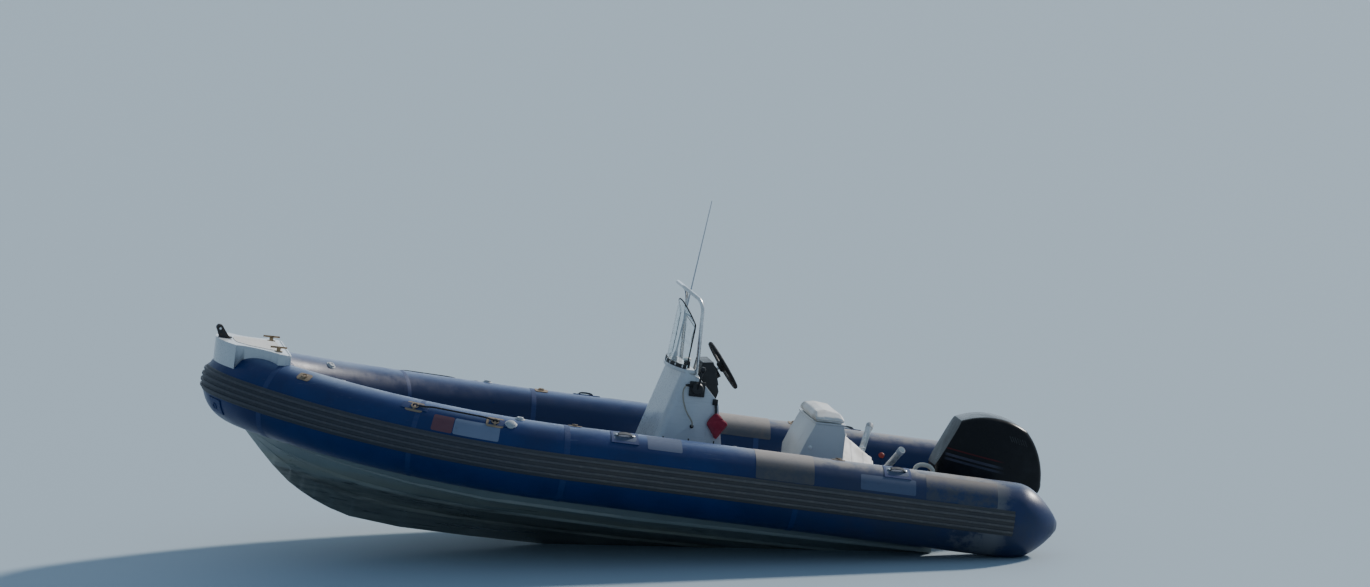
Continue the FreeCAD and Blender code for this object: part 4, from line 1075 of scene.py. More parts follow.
# Bow: moulding with a rolled lip along its after edge, tread pad, locker, cleats and roller
bowLook = {"lip": ((0.405, 0.707), (0.4135, 0.735), (0.408, 0.762), (0.385, 0.7675),
                   (0.20, 0.7675)), "lipX": 2.624,
           "pad": ((2.97, 0.09), (2.955, 0.16), (2.88, 0.235), (2.78, 0.26), (2.66, 0.26)),
           "padTop": (3.085, 0.037 / 0.465), "rim": 0.70}


def mirroredRow(points):
    return list(points) + [(x, -y, *more) for x, y, *more in points[::-1]]


def addBow():
    look = bowLook
    form = nodeForm("bow_moulding", 0.3)
    rim = [edge for edge in hardEdges(form, 35) if min(vert.co.z for vert in edge.verts) > look["rim"]]
    bevel(form, rim, 0.016, 4)
    settle(form, "bow_deck_moulding", "white", replaces=["bow_moulding"], clean=False)
    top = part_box("bow_moulding")[1].z
    start, slope = look["padTop"]
    form = bmesh.new()
    verts = [form.verts.new((x, y, top - (start - x) * slope)) for x, y in mirroredRow(look["pad"])]
    form.faces.new(verts)
    bevel(form, verts, 0.012, 3, "VERTICES")
    made = bmesh.ops.extrude_face_region(form, geom=list(form.faces))["geom"]
    bmesh.ops.translate(form, vec=(0, 0, 0.004), verts=picked(made, BMVert))
    bmesh.ops.translate(form, vec=(0, 0, -0.001), verts=form.verts)
    settle(form, "bow_tread_pad", "deck")
    lip = mirroredRow([(look["lipX"], y, z) for y, z in look["lip"]])
    build("bow_moulding_lip", "white", [(addPipe, lip, 0.0075, 10, 6)])
    dress("bow_locker", "white", 0.005)
    dress("bow_locker_lid", "white", 0.006, 3)
    dress("roller_bracket", "blackSteel", 0.0012)
    dress("bow_roller", "rubber", 0.002, angle=25)
    dress("bow_cleats", "bronze", 0.003, 3)
    dress("nose_patch", "tape", 0.002)
    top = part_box("bow_locker_lid")[1].z
    build("locker_lid_fasteners", "stainless", [(addScrew, (x, y, top), (0, 0, 1), 0.0045)
                                                for y in (-0.12, 0.12) for x in (2.425, 2.405)] + [
        (addBlock, (2.052, -0.022, top), (2.090, 0.022, top + 0.004), 0.0015),
        (addTurned, mm(0, 0, 0, 13, 4, 12, 5, 4, 5, 0), (2.071, 0, top + 0.004))],
        "locker_lid")
    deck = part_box("roller_bracket")[0].z + 0.005
    middle = sum(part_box("bow_roller"), Vector()) / 2
    build("bow_roller_fasteners", "stainless", [(addScrew, (x, y, deck), (0, 0, 1), 0.0042, 0.0025)
                                                for x in (2.994, 3.009) for y in (-0.027, 0.027)] + [
        (addRod, middle + Vector((0, 0.0405 * hand, 0)), middle + Vector((0, 0.0445 * hand, 0)), 0.009, 6)
        for hand in (1, -1)])


addBow()
print("hull and bow made")


# Console: shell, hatch, screen, rail, dash and side fittings
consoleLook = {"half": 0.40, "hooks": ((0.11, 0.445), (-0.06, 0.445), (-0.23, 0.445)),
               "latch": (-0.212, 0.742),
               "hatchFace": -0.310, "vent": (0.190, 0.20, 0.43),
               "screws": (-0.15, 0.0, 0.13), "footZ": 0.0525,
               "foot": ((0.292, 0.33), (0.292, -0.33), (0.22, -0.402), (-0.292, -0.402), (-0.292, 0.402),
                        (0.22, 0.402))}


def addConsole():
    look = consoleLook
    dress("console", "white", 0.007, 3, 28)
    dress("console_door", "white", 0.004)
    dress("console_rail", "stainless", flat=0, smooth=40)
    face, (wide, low, high) = look["hatchFace"], look["vent"]
    slats = [low + 0.03 + 0.017 * k for k in range(11)]
    build("hatch_vent_panel", "white",
          [(addBlock, (face - 0.005, -wide, low), (face + 0.001, wide, high), 0.004, 3)]
          + [(addBlock, (face - 0.009, -0.150, z), (face - 0.004, 0.150, z + 0.006)) for z in slats],
          "console_hatch")
    build("hatch_latch", "stainless", [
        (addTurned, mm(0, 0, 0, 20, 4, 20, 6, 16, 6, 11, 4, 10, 4, 0),
         (face, 0.208, 0.33), (-1, 0, 0), 28),
        (addBlock, (face - 0.012, 0.205, 0.318), (face - 0.004, 0.211, 0.342), 0.001)] + [
        (addScrew, (face, -0.219, z), (-1, 0, 0), 0.004, 0.002)
        for z in (0.21, 0.31, 0.41)], "console_hatch")
    hooks = []
    for hand in (1, -1):
        y = look["half"] * hand
        for x, z in look["hooks"]:
            hooks += [(addPipe, [(x, y + out * hand, z + up) for out, up in (
                (0, 0), (0.016, 0), (0.030, 0.006), (0.030, 0.040))], 0.0045),
                (addTurned, mm(0, 0, 0, 12, 3, 12, 4, 5, 4, 0), (x, y, z),
                 (0, hand, 0), 20)]
    build("console_hooks", "blackPlastic", hooks)
    x, z = look["latch"]
    build("console_side_latch", "blackPlastic", [
        (addBlock, (x - 0.020, 0.398, z - 0.022), (x + 0.016, 0.412, z + 0.018), 0.004, 3),
        (addBlock, (x - 0.010, 0.410, z - 0.012), (x + 0.008, 0.418, z + 0.020), 0.003)])
    corners = [Vector(spot) for spot in look["foot"]]
    route = []
    for before, corner, after in zip(corners[-1:] + corners, corners, corners[1:] + corners[:1]):
        for other in (before, after):
            route.append((*(corner + (other - corner).normalized() * 0.02), look["footZ"]))
    build("console_foot_sealant", "rubber", [(addPipe, route, 0.005, 8, 4, True)])
    build("console_foot_screws", "stainless", [(addScrew, (x, look["half"] * hand, 0.085), (0, hand, 0))
                                               for hand in (1, -1) for x in look["screws"]])


addConsole()


# The screen is a part of a leaning cylinder with an arched top
screenLook = {"chord": 0.380, "sag": 0.075, "front": 0.075, "lean": 0.10, "foot": 0.935, "half": 0.375,
              "shoulder": 1.232, "top": 1.360, "sides": (0.963, 1.02, 1.10, 1.17),
              "screws": (-0.34, -0.23, -0.115, 0, 0.115, 0.23, 0.34)}


def addScreen():
    dress("windscreen", "screen", flat=0, smooth=40)
    dress("windscreen_strip", "rubber", 0.0012, flat=0, smooth=40)
    look = screenLook
    curve = (look["chord"] ** 2 + look["sag"] ** 2) / (2 * look["sag"])
    half, top, middle = look["half"], look["top"], look["front"] - curve

    def onScreen(y, z, out=0.0):
        bulge = math.sqrt((curve + out) ** 2 - y ** 2)
        return Vector((middle + bulge - look["lean"] * (z - look["foot"]), y, z))

    rise = top - look["shoulder"]
    radius = (half ** 2 + rise ** 2) / (2 * rise)
    side = [(half, z) for z in look["sides"]]
    arch = [(y, top - radius + math.sqrt(radius ** 2 - y ** 2))
            for y in [half * (1 - k / 12) for k in range(25)]]
    rim = side + arch + [(-y, z) for y, z in side[::-1]]
    build("windscreen_edge_trim", "rubber",
          [(addPipe, [onScreen(y, z, -0.0025) for y, z in rim], 0.0048, 8, 3)])
    spots = [onScreen(y, 0.948, 0.0073) for y in look["screws"]]
    build("windscreen_screws", "stainless", [
        (addTurned, mm(-2, 0, -2, 10, 1.5, 10, 3, 7, 3, 0), spot,
         (spot.x - middle, spot.y, 0), 18) for spot in spots])
    feet = []
    for hand in (1, -1):
        feet.append((addTurned, mm(0, 0, 0, 28, 4, 27, 6, 18, 14, 14.5, 14, 0),
                     (-0.0719, 0.378 * hand, 0.893), (-0.35, 0, 1), 28))
        feet += [(addScrew, (dx - 0.0735, 0.378 * hand + dy, 0.897 + dx / 3), (-0.35, 0, 1), 0.0038, 0.0022)
                 for dx, dy in circle(3, 0.021, 0.5)]
    build("rail_foot_flanges", "stainless", feet)


addScreen()


# Wheel and helm: rim with a stitched grip, three dished spokes, a hub cap
helm = {"centre": (-0.325, -0.150, 0.930), "tilt": 36.0, "radius": 0.166, "rim": 0.014, "stitches": 54,
        "spoke": ((0.022, -0.020), (0.055, -0.019), (0.10, -0.012), (0.14, -0.003), (0.158, 0.0))}


def addHelm():
    tilt = math.radians(helm["tilt"])
    centre, rim = helm["centre"], helm["rim"]
    axis = Vector((-math.cos(tilt), 0, math.sin(tilt)))
    base = toward(centre, axis)
    stitch = [(-0.0022, rim - 0.002), (-0.001, rim + 0.0006), (0.001, rim + 0.0006), (0.0022, rim - 0.002)]
    build("wheel_rim", "rubber", [
        (addPipe, [base @ Vector((x, y, 0)) for x, y in circle(24, helm["radius"])], rim, 16, 4, True)] + [
        (addTurned, stitch, base @ Vector((x, y, 0)), base.to_3x3() @ Vector((-y, x, 0)), 10)
        for x, y in circle(helm["stitches"], helm["radius"])], "wheel", replaces=["steering_wheel"])
    form = bmesh.new()
    flat = base @ Matrix.Diagonal((1, 1, 0.45, 1)) @ base.inverted()
    for x, y in circle(3, 1, math.pi / 2):
        route = [base @ Vector((x * r, y * r, z)) for r, z in helm["spoke"]]
        bmesh.ops.transform(form, matrix=flat, verts=addPipe(form, route, 0.011, 12))
    addTurned(form, mm(-34, 0, -34, 30, -26, 37, 4, 38, 9, 34, 12, 20, 12, 0), centre, axis, 40)
    settle(form, "wheel_spokes", "blackPlastic", "wheel")
    build("wheel_column", "stainless", [
        (addTurned, mm(-92, 0, -92, 10, -30, 10, -30, 0), centre, axis, 20),
        (addTurned, mm(11.5, 0, 11.5, 17, 14, 16, 14.5, 4, 14.5, 0), centre, axis, 28)],
        "wheel")
    dress("helm_unit", "blackPlastic", 0.004, angle=40, flat=0)


addHelm()


# Dash: a black binnacle with dials, a switch row and a small chart display on its after face
dash = {"low": (-0.243, 0, 0.800), "top": (-0.190, 0, 0.992), "dials": ((0.065, 0.59), (0.14, 0.59)),
        "dialRadius": 0.032, "display": (0.185, 0.285, 0.20, 0.86), "switches": (0.05, 0.16, 0.16)}


def addDash():
    dress("instrument_pod", "blackPlastic", 0.010, 4)
    foot, run = Vector(dash["low"]), Vector(dash["top"]) - Vector(dash["low"])
    upward = run.normalized()
    normal = Vector((-upward.z, 0, upward.x))
    facing = axes(Vector((0, 1, 0)), upward, -normal)
    flip = Matrix.Diagonal((1, 1, -1, 1))

    # Share runs from the face's foot to its top
    def at(y, share, out=0.0):
        return Matrix.Translation(foot + run * share + Vector((0, y, 0)) + normal * out) @ facing

    rings, faces, marks = bmesh.new(), bmesh.new(), bmesh.new()
    r = dash["dialRadius"]
    for y, share in dash["dials"]:
        spot = at(y, share).translation
        addTurned(rings,
                  [(-0.001, r), (-0.001, r + 0.006), (0.006, r + 0.005), (0.008, r), (0.004, r - 0.002),
                   (-0.001, r)], spot, normal, 40)
        addTurned(faces, [(0.0, 0), (0.0, r), (0.002, r), (0.002, 0)], spot, normal, 40)
        for k in range(11):
            turn = Matrix.Rotation(math.radians(225 - 27 * k), 4, "Z")
            inner = r - 0.005 - (0.003 if k % 2 else 0.006)
            addMoved(marks, at(y, share, 0.0021) @ turn @ flip, (inner, -0.0007, 0),
                     (r - 0.005, 0.0007, 0.0006), 0)
        turn = Matrix.Rotation(math.radians(200), 4, "Z")
        addMoved(marks, at(y, share, 0.0026) @ turn @ flip, (-0.005, -0.0009, 0),
                 (r * 0.72, 0.0009, 0.0008), 0)
    y0, y1, low, high = dash["display"]
    for form, grow, thick in ((rings, 0.0, 0.010), (faces, -0.010, 0.0112)):
        wide, tall = (y1 - y0) / 2 + grow, run.length * (high - low) / 2 + grow
        addMoved(form, at((y0 + y1) / 2, (low + high) / 2), (-wide, -tall, -thick),
                 (wide, tall, 0), 0.003, 3)
    y0, y1, share = dash["switches"]
    for k in range(6):
        addMoved(rings, at(y0 + (y1 - y0) * k / 5, share), (-0.006, -0.010, -0.006), (0.006, 0.010, 0))
    settle(rings, "dash_bezels", "blackPlastic")
    settle(faces, "dash_faces", "dial")
    settle(marks, "dial_marks", "white", slot="white_plastic")


addDash()


# Throttle control on the port side, the compass behind the screen and the antenna's mount
build("throttle_body", "blackPlastic", [
    (addBlock, (-0.135, 0.4003, 0.765), (-0.030, 0.418, 0.865), 0.006, 3),
    (addTurned, mm(0, 0, 0, 43, 14, 41, 22, 34, 24, 18, 24, 0),
     (-0.082, 0.418, 0.818), (0, 1, 0), 36)], replaces=["throttle_control"])
build("throttle_lever", "blackPlastic", [
    (addPipe,
     [(-0.082, 0.436, 0.818), (-0.084, 0.444, 0.840), (-0.091, 0.458, 0.890),
      (-0.098, 0.462, 0.945)], 0.0075, 12),
    (addTurned, mm(0, 0, 0, 8, 6, 15, 16, 19, 28, 18, 38, 11, 40, 0),
     (-0.0965, 0.4615, 0.932), (-0.13, 0.03, 1), 28)])
build("cable_glands", "rubber", [
    (addTurned, mm(0, 5.5, 0, 11, 20, 7.5, 30, 5.8), (-0.030, 0.428, 0.838), (1, 0, 0), 20),
    (addTurned, mm(0, 5.5, 0, 13.5, 6, 12.5, 14, 7.5, 14, 5.5),
     (-0.075, 0.4062, 0.565), (0, 1, 0), 24)])
build("compass_housing", "blackPlastic",
      [(addBlock, (-0.045, 0.215, 0.907), (0.010, 0.305, 0.925), 0.004, 3),
       (addBlock, (-0.036, 0.225, 0.924), (0.000, 0.295, 0.985), 0.010, 4)])
build("compass_dome", "cushion", [
    (addTurned, mm(0, 0, 0, 26, 6, 26, 14, 23, 20, 14, 22, 0),
     (-0.018, 0.260, 0.984))], slot="white_plastic")
dress("antenna", "whip", flat=0, smooth=40)
build("antenna_mount", "greyPlastic", [
    (addTurned, mm(-4, 0, -4, 30, 4, 30, 6, 23.5, 12, 22.5, 16, 19.5, 36, 18.5, 40, 15), (0.03, 0, 0.9385),
     (-0.128, 0, 1.1), 28)])
print("console made")


# Padded goods: a fine closed mesh blown up a little inside its cover, then creased along its seams
padLook = {"voxel": 0.005, "pressure": 4.0, "frames": 20}


# Keeps what the modifiers made as the piece's own mesh
def applyLooks(piece):
    made = bpy.data.meshes.new_from_object(piece.evaluated_get(bpy.context.evaluated_depsgraph_get()))
    piece.modifiers.clear()
    piece.data = made


def swell(name, form, cap, voxel):
    mesh = bpy.data.meshes.new(name)
    form.to_mesh(mesh)
    piece = link(name, mesh)
    fine = piece.modifiers.new("fine", "REMESH")
    fine.mode = "VOXEL"
    fine.voxel_size = voxel
    applyLooks(piece)
    form.clear()
    form.from_mesh(piece.data)
    for k in range(3):
        bmesh.ops.smooth_vert(form, verts=form.verts, factor=0.5, use_axis_x=True,
                              use_axis_y=True, use_axis_z=True)
    form.to_mesh(piece.data)
    form.free()
    rest = [vert.co.copy() for vert in piece.data.vertices]
    cloth = piece.modifiers.new("cloth", "CLOTH")
    cloth.settings.use_pressure = True
    cloth.settings.uniform_pressure_force = padLook["pressure"]
    cloth.settings.effector_weights.gravity = 0
    cloth.point_cache.frame_end = padLook["frames"]
    for step in range(1, padLook["frames"] + 1):
        bpy.context.scene.frame_set(step)
    applyLooks(piece)
    bpy.context.scene.frame_set(1)
    for vert, home in zip(piece.data.vertices, rest):
        move = vert.co - home
        if move.length > cap:
            vert.co = home + move * (cap / move.length)
    return piece


# Swells a form, lets a function press its creases and finishes it in a node's place
def addPad(name, node, form, press, paint, body="boat", cap=0.005, voxel=padLook["voxel"]):
    piece = swell(name, form, cap, voxel)
    form = bmesh.new()
    form.from_mesh(piece.data)
    press(form)
    form.to_mesh(piece.data)
    form.free()
    finer = piece.modifiers.new("finer", "SUBSURF")
    finer.levels = finer.render_levels = 1
    applyLooks(piece)
    piece.data.polygons.foreach_set("use_smooth", [True] * len(piece.data.polygons))
    piece.data.materials.clear()
    piece.data.materials.append(paints[paint])
    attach(piece, body)
    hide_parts(node)


# A crease pressed into the form along a plane
def crease(form, origin, way, depth, width):
    origin, way = Vector(origin), Vector(way).normalized()
    form.normal_update()
    for vert in form.verts:
        off = (vert.co - origin).dot(way) / width
        if abs(off) < 2.5:
            vert.co -= vert.normal * depth * math.exp(-off * off)


# A piped edge: a thin cord that follows the form where a plane cuts it
def addPiping(name, paint, source, origin, way, radius, body="boat"):
    copy = source.copy()
    cut = bmesh.ops.bisect_plane(copy, geom=everything(copy), dist=1e-6, plane_co=origin,
                                 plane_no=way)["geom_cut"]
    edges = set(picked(cut, BMEdge))
    spot = min((vert for edge in edges for vert in edge.verts), key=lambda vert: (vert.co.x, vert.co.y))
    loop = []
    while spot:
        loop.append(spot)
        ahead = [edge.other_vert(spot) for edge in spot.link_edges if edge in edges]
        spot = next((vert for vert in ahead if vert not in loop), None)
    spots = [vert.co.copy() for vert in loop][::4]
    copy.free()
    build(name, paint, [(addPipe, spots, radius, 8, 2, True)], body)


# A node's form drawn in a little on every side, for a pad to grow back from
def slimmer(node, by):
    form = nodeForm(node, 0)
    low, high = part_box(node)
    middle = (low + high) / 2
    bmesh.ops.translate(form, vec=-middle, verts=form.verts)
    bmesh.ops.scale(form, vec=[max(0.3, 1 - 2 * by / side) for side in high - low], verts=form.verts)
    bmesh.ops.translate(form, vec=middle, verts=form.verts)
    return form


# Seat: a moulded box, its hinged lid and a domed cushion
seatLook = {"catch": (-0.891, 0.495), "half": 0.35, "hinge": (-1.122, 0.6613), "knuckles": 9,
            "lid": ((-1.112, -0.35, 0.6553), (-0.908, 0.35, 0.6673)),
            "cushionEase": 0.005, "cushionCap": 0.007,
            "creases": ((0.255, 0.0045), (0.085, 0.0030)), "seam": 0.019}


def addSeat():
    look = seatLook
    dress("seat_box", "seatShell", 0.012, 3, 35)
    build("seat_lid_panel", "seatShell", [(addBlock, *look["lid"], 0.003, 3)], "seat_top",
          replaces=["seat_lid"])
    half = look["half"] - 0.03
    x, z = look["hinge"]
    pace = 2 * half / look["knuckles"]
    build("seat_hinge_strip", "stainless", [
        (addRod, (x, y + 0.001, z), (x, y + pace - 0.001, z), 0.005, 14)
        for y in [-half + pace * k for k in range(look["knuckles"])]] + [
        (addBlock, (x, -half, z - 0.0016), (-1.107, half, z + 0.0016), 0.0006)] + [
        (addScrew, (-1.111, half * (k - 2.5) / 2.7, z + 0.0015), (0, 0, 1), 0.0028,
         0.0015) for k in range(6)],
        "seat_top")
    x, z = look["catch"]
    build("seat_side_catches", "catchWhite", [
        (addTurned, mm(-1, 0, -1, 15, 4, 14, 6, 9, 9, 7, 9, 0),
         (x, look["half"] * hand, z), (0, hand, 0), 24) for hand in (1, -1)])


def addSeatCushion():
    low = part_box("seat_cushion")[0].z

    def press(form):
        for vert in form.verts:
            vert.co.z = max(vert.co.z, low + 0.0005)
        for y, depth in seatLook["creases"]:
            for hand in (1, -1):
                crease(form, (0, y * hand, 0), (0, 1, 0), depth, 0.004)
        addPiping("seat_cushion_piping", "piping", form,
                  (-1.0, 0, low + seatLook["seam"]), (0, 0, 1), 0.0032, "seat_top")

    addPad("seat_cushion_pad", "seat_cushion",
           slimmer("seat_cushion", seatLook["cushionEase"]), press, "cushion",
           "seat_top", seatLook["cushionCap"])


addSeat()
addSeatCushion()
print("seat made")


# Locker behind the seat: roofed, with a pad buttoned down over both slopes
lockerLook = {"ease": 0.003, "cap": 0.005, "voxel": 0.006, "creases": (-1.21, -1.30),
              "studs": ((-1.17, 0.30), (-1.255, 0.30), (-1.34, 0.30))}


def addAftLocker():
    look = lockerLook
    dress("aft_locker", "white", 0.006, 3)

    def press(form):
        crease(form, (0, 0, 0), (0, 1, 0), 0.003, 0.0045)
        for x in look["creases"]:
            crease(form, (x, 0, 0), (1, 0, 0), 0.0024, 0.004)

    addPad("aft_pad_cover", "aft_pad", slimmer("aft_pad", look["ease"]), press, "cushion",
           "boat", look["cap"], look["voxel"])
    meet = onForm("aft_pad")
    build("aft_pad_studs", "stainless", [
        (addTurned, mm(-1, 0, -1, 8, 2.5, 7, 3.5, 3, 3.5, 0),
         *meet((x, y * hand, 1.2), (0, 0, -1)), 18) for hand in (1, -1) for x, y in look["studs"]])


addAftLocker()


# Inclined sockets behind the seat: a rolled mouth, a rubber cap ring, a clamp and foot screws
holder = {"low": (-1.372, 0.430, 0.372), "high": (-1.459, 0.640, 0.580), "radius": 0.023, "bore": 0.0205,
          "length": 0.300, "footZ": 0.0585}


def addRodHolders():
    low, way = Vector(holder["low"]), Vector(holder["high"]) - Vector(holder["low"])
    r, bore, long = holder["radius"], holder["bore"], holder["length"]
    metals, rims = bmesh.new(), bmesh.new()
    addTurned(rims, [(long - 0.034, r), (long - 0.034, r + 0.0028), (long - 0.003, r + 0.0032),
                     (long + 0.001, r + 0.001), (long + 0.001, bore + 0.0004),
                     (long - 0.006, bore)], low, way, 32)
    for at in (0.045, 0.070):
        addTurned(metals,
                  [(at, r - 0.001), (at, r + 0.0026), (at + 0.009, r + 0.0026), (at + 0.009, r - 0.001)],
                  low, way, 28)
    foot = Vector((low.x, low.y, holder["footZ"]))
    for dx, dy in circle(4, 0.032, math.pi / 4):
        addScrew(metals, foot + Vector((dx, dy, 0)), (0, 0, 1), 0.0045)
    addTurned(metals, mm(0, 14.8, 0, 21, 4, 20, 10, 15.5, 10, 14.8), foot,
              (0, 0, 1), 28)
    for form, name, paint in ((metals, "rod_holder_clamps", "stainless"),
                              (rims, "rod_holder_caps", "greyPlastic")):
        addMirrored(form)
        settle(form, name, paint)
    for hand, side in hands:
        dress("rod_holder_" + side, "satinSteel", flat=0, smooth=40)


addRodHolders()


# Small crimson bag on the console's side: a four-cornered pouch with a bound edge, a flap and a strap
bagLook = {"corners": ((-0.225, 0.675), (-0.165, 0.600), (-0.240, 0.490), (-0.315, 0.605)), "wall": 0.4003,
           "deep": 0.046, "cap": 0.012, "spine": 0.020}


def addBag():
    look = bagLook
    corners = [Vector((x, 0, z)) for x, z in look["corners"]]
    middle = sum(corners, Vector()) / 4
    wall, spine = look["wall"], look["wall"] + look["spine"]
    form = bmesh.new()
    verts = [form.verts.new(corner) for corner in corners]
    form.faces.new(verts)
    bevel(form, list(form.faces) + verts, 0.012, 3, "VERTICES")
    bmesh.ops.translate(form, vec=(0, wall + 0.008, 0), verts=form.verts)
    made = bmesh.ops.extrude_face_region(form, geom=list(form.faces))["geom"]
    bmesh.ops.translate(form, vec=(0, look["deep"] - 0.022, 0), verts=picked(made, BMVert))
    bmesh.ops.recalc_face_normals(form, faces=form.faces)

    def press(form):
        for vert in form.verts:
            sag = max(0.0, middle.z - vert.co.z) * 0.03
            vert.co.y = min(max(vert.co.y + sag, wall + 0.0005), wall + look["deep"] - 0.001)
        crease(form, middle + Vector((0, 0, 0.030)), (0.25, 0, 1), 0.005, 0.006)
        addPiping("line_bag_binding", "bagEdge", form, (0, spine, 0), (0, 1, 0), 0.0024)

    addPad("line_bag_pouch", "line_bag", form, press, "bag", cap=look["cap"])
    x, z = look["corners"][0]
    strap = [(x, spine, z - 0.010), (x + 0.002, spine - 0.002, z + 0.020),
             (x + 0.006, wall + 0.010, z + 0.046), (x + 0.010, wall + 0.011, z + 0.064)]
    build("line_bag_strap", "webbing", [(addStrap, strap, 0.018, 0.0022, (1, 0, 0.1))])


addBag()
print("locker, rod holders and bag made")


# Ribbed conduit from the sole over the transom to the engine: rings follow one smooth line
conduit = {"route": [(-1.612, 0.340, 0.052), (-1.612, 0.340, 0.350), (-1.612, 0.340, 0.432),
                     (-1.646, 0.340, 0.455), (-1.706, 0.340, 0.452), (-1.742, 0.340, 0.422),
                     (-1.745, 0.340, 0.350), (-1.745, 0.340, 0.290), (-1.745, 0.322, 0.264),
                     (-1.745, 0.270, 0.262), (-1.745, 0.146, 0.262)],
           "radius": 0.0135, "rib": 0.0020, "pitch": 0.0085}


def addConduit():
    radius, rib, pace = conduit["radius"], conduit["rib"], conduit["pitch"] / 4
    spots = [vert.co.copy() for vert in lineMesh(conduit["route"], 0, smoothness=16).vertices]
    form = bmesh.new()
    verts = bmesh.ops.create_circle(form, segments=20, radius=radius)["verts"]
    bmesh.ops.transform(form, matrix=toward(spots[0], spots[1] - spots[0]), verts=verts)
    edges = list(form.edges)
    first = edges
    here, way, size, gone, k = spots[0], (spots[1] - spots[0]).normalized(), radius, 0.0, 0
    for ahead in spots[1:]:
        gap = (ahead - here).length
        while gone + gap > pace:
            k += 1
            onward = (ahead - here).normalized()
            there = here + onward * (pace - gone)
            grown = radius + (rib if k % 4 in (1, 2) else 0)
            turn = way.rotation_difference(onward).to_matrix().to_4x4()
            made = bmesh.ops.extrude_edge_only(form, edges=edges)["geom"]
            verts, edges = picked(made, BMVert), picked(made, BMEdge)
            centre = sum((vert.co for vert in verts), Vector()) / len(verts)
            move = Matrix.Translation(there) @ turn @ Matrix.Scale(grown / size,
                4) @ Matrix.Translation(-centre)
            bmesh.ops.transform(form, matrix=move, verts=verts)
            here, way, size, gone = there, onward, grown, 0.0
            gap = (ahead - here).length
        gone += gap
        here = ahead
    for loop in (first, edges):
        bmesh.ops.contextual_create(form, geom=loop)
    settle(form, "rigging_conduit", "conduit", replaces=["rigging_tube"], smooth=60)
    build("conduit_glands", "rubber", [
        (addTurned, mm(0, 16, 0, 34, 5, 33, 12, 24, 22, 19.5, 22, 16),
         (-1.612, 0.340, 0.052), (0, 0, 1), 28),
        (addTurned, mm(0, 16, 0, 22.5, 16, 22.5, 24, 19.5, 24, 16),
         (-1.745, 0.147, 0.262), (0, 1, 0), 28)])


addConduit()
print("conduit made")


# Engine: bracket, swivel, leg, pan and cowl, with what is bolted to them
engineLook = {"shave": ((-1.791, 0, 0.444), (0.908, 0, 0.418)), "plate": -0.378,
              "prop": (-2.075, 0, -0.552),
              "bolts": ((-1.955, 0.195), (-2.120, 0.195), (-1.960, 0.02), (-2.100, 0.02), (-1.945, -0.30),
                        (-2.070, -0.30))}


def addBracket():
    dress("transom_bracket", "engine", 0.0035, angle=35)
    dress("engine_swivel", "engine", 0.0025, angle=40)
    form, metals = bmesh.new(), bmesh.new()
    for hand in (1, -1):
        foot, outer = (-1.722, 0.062 * hand, -0.130), 0.1165 * hand
        addTurned(form, mm(0, 0, 0, 21, 4, 24, 120, 24, 126, 19, 126, 0), foot,
                  (-0.08, 0, 1), 28)
        addTurned(metals, mm(124, 10, 150, 10, 153, 8, 153, 0), foot, (-0.08, 0, 1), 20)
        addTurned(metals, mm(0, 0, 0, 20, 1.5, 20, 1.5, 13.5, 10, 12.5, 11, 9, 11, 0),
                  (-1.745, outer, 0.262), (0, hand, 0), 6 if hand < 0 else 24)
        for z in (0.02, -0.06):
            addBolt(metals, (-1.744, outer, z), (0, hand, 0), 0.006, 0.006)
    settle(form, "trim_cylinders", "engine")
    settle(metals, "bracket_fasteners", "stainless")


def addLeg():
    dress("engine_leg", "engine", flat=0, smooth=38)
    dress("engine_pan", "engine", 0.004)
    dress("propeller", "prop", flat=0, smooth=38)
    meet = onForm("engine_leg")
    inlets, metals = bmesh.new(), bmesh.new()
    for hand in (1, -1):
        for k in range(5):
            spot, way = meet((-1.915 - 0.006 * k, 0.3 * hand, -0.445 - 0.011 * k), (0, -hand, 0))
            addMoved(inlets, Matrix.Translation(spot), (-0.016, -0.0022, -0.0012),
                     (0.016, 0.0022, 0.0012), 0.0008, 1)
        for x, z in engineLook["bolts"]:
            addBolt(metals, *meet((x, 0.3 * hand, z), (0, -hand, 0)), 0.0055, 0.006)
    settle(inlets, "water_inlets", "rubber", "engine")
    settle(metals, "leg_bolts", "stainless", "engine")
    low = engineLook["plate"] - 0.014
    build("leg_anodes", "zinc", [
        (addTurned, mm(0, 0, 0, 20, 4, 20, 6, 17, 6, 0), (-2.262, 0, low), (0, 0, -1), 28),
        (addBlock, (-2.286, -0.006, low - 0.048), (-2.240, 0.006, low - 0.004), 0.004, 3),
        (addBlock, (-1.905, -0.020, -0.020), (-1.895, 0.020, 0.060), 0.003)], "engine")
    hub = engineLook["prop"]
    build("propeller_nut", "bronze", [
        (addTurned, mm(140, 0, 150, 22, 156, 22, 160, 18, 160, 12), hub, (-1, 0, 0), 24),
        (addTurned, mm(156, 0, 156, 14, 168, 14, 170, 11, 170, 0), hub, (-1, 0, 0), 6)],
        "screw")


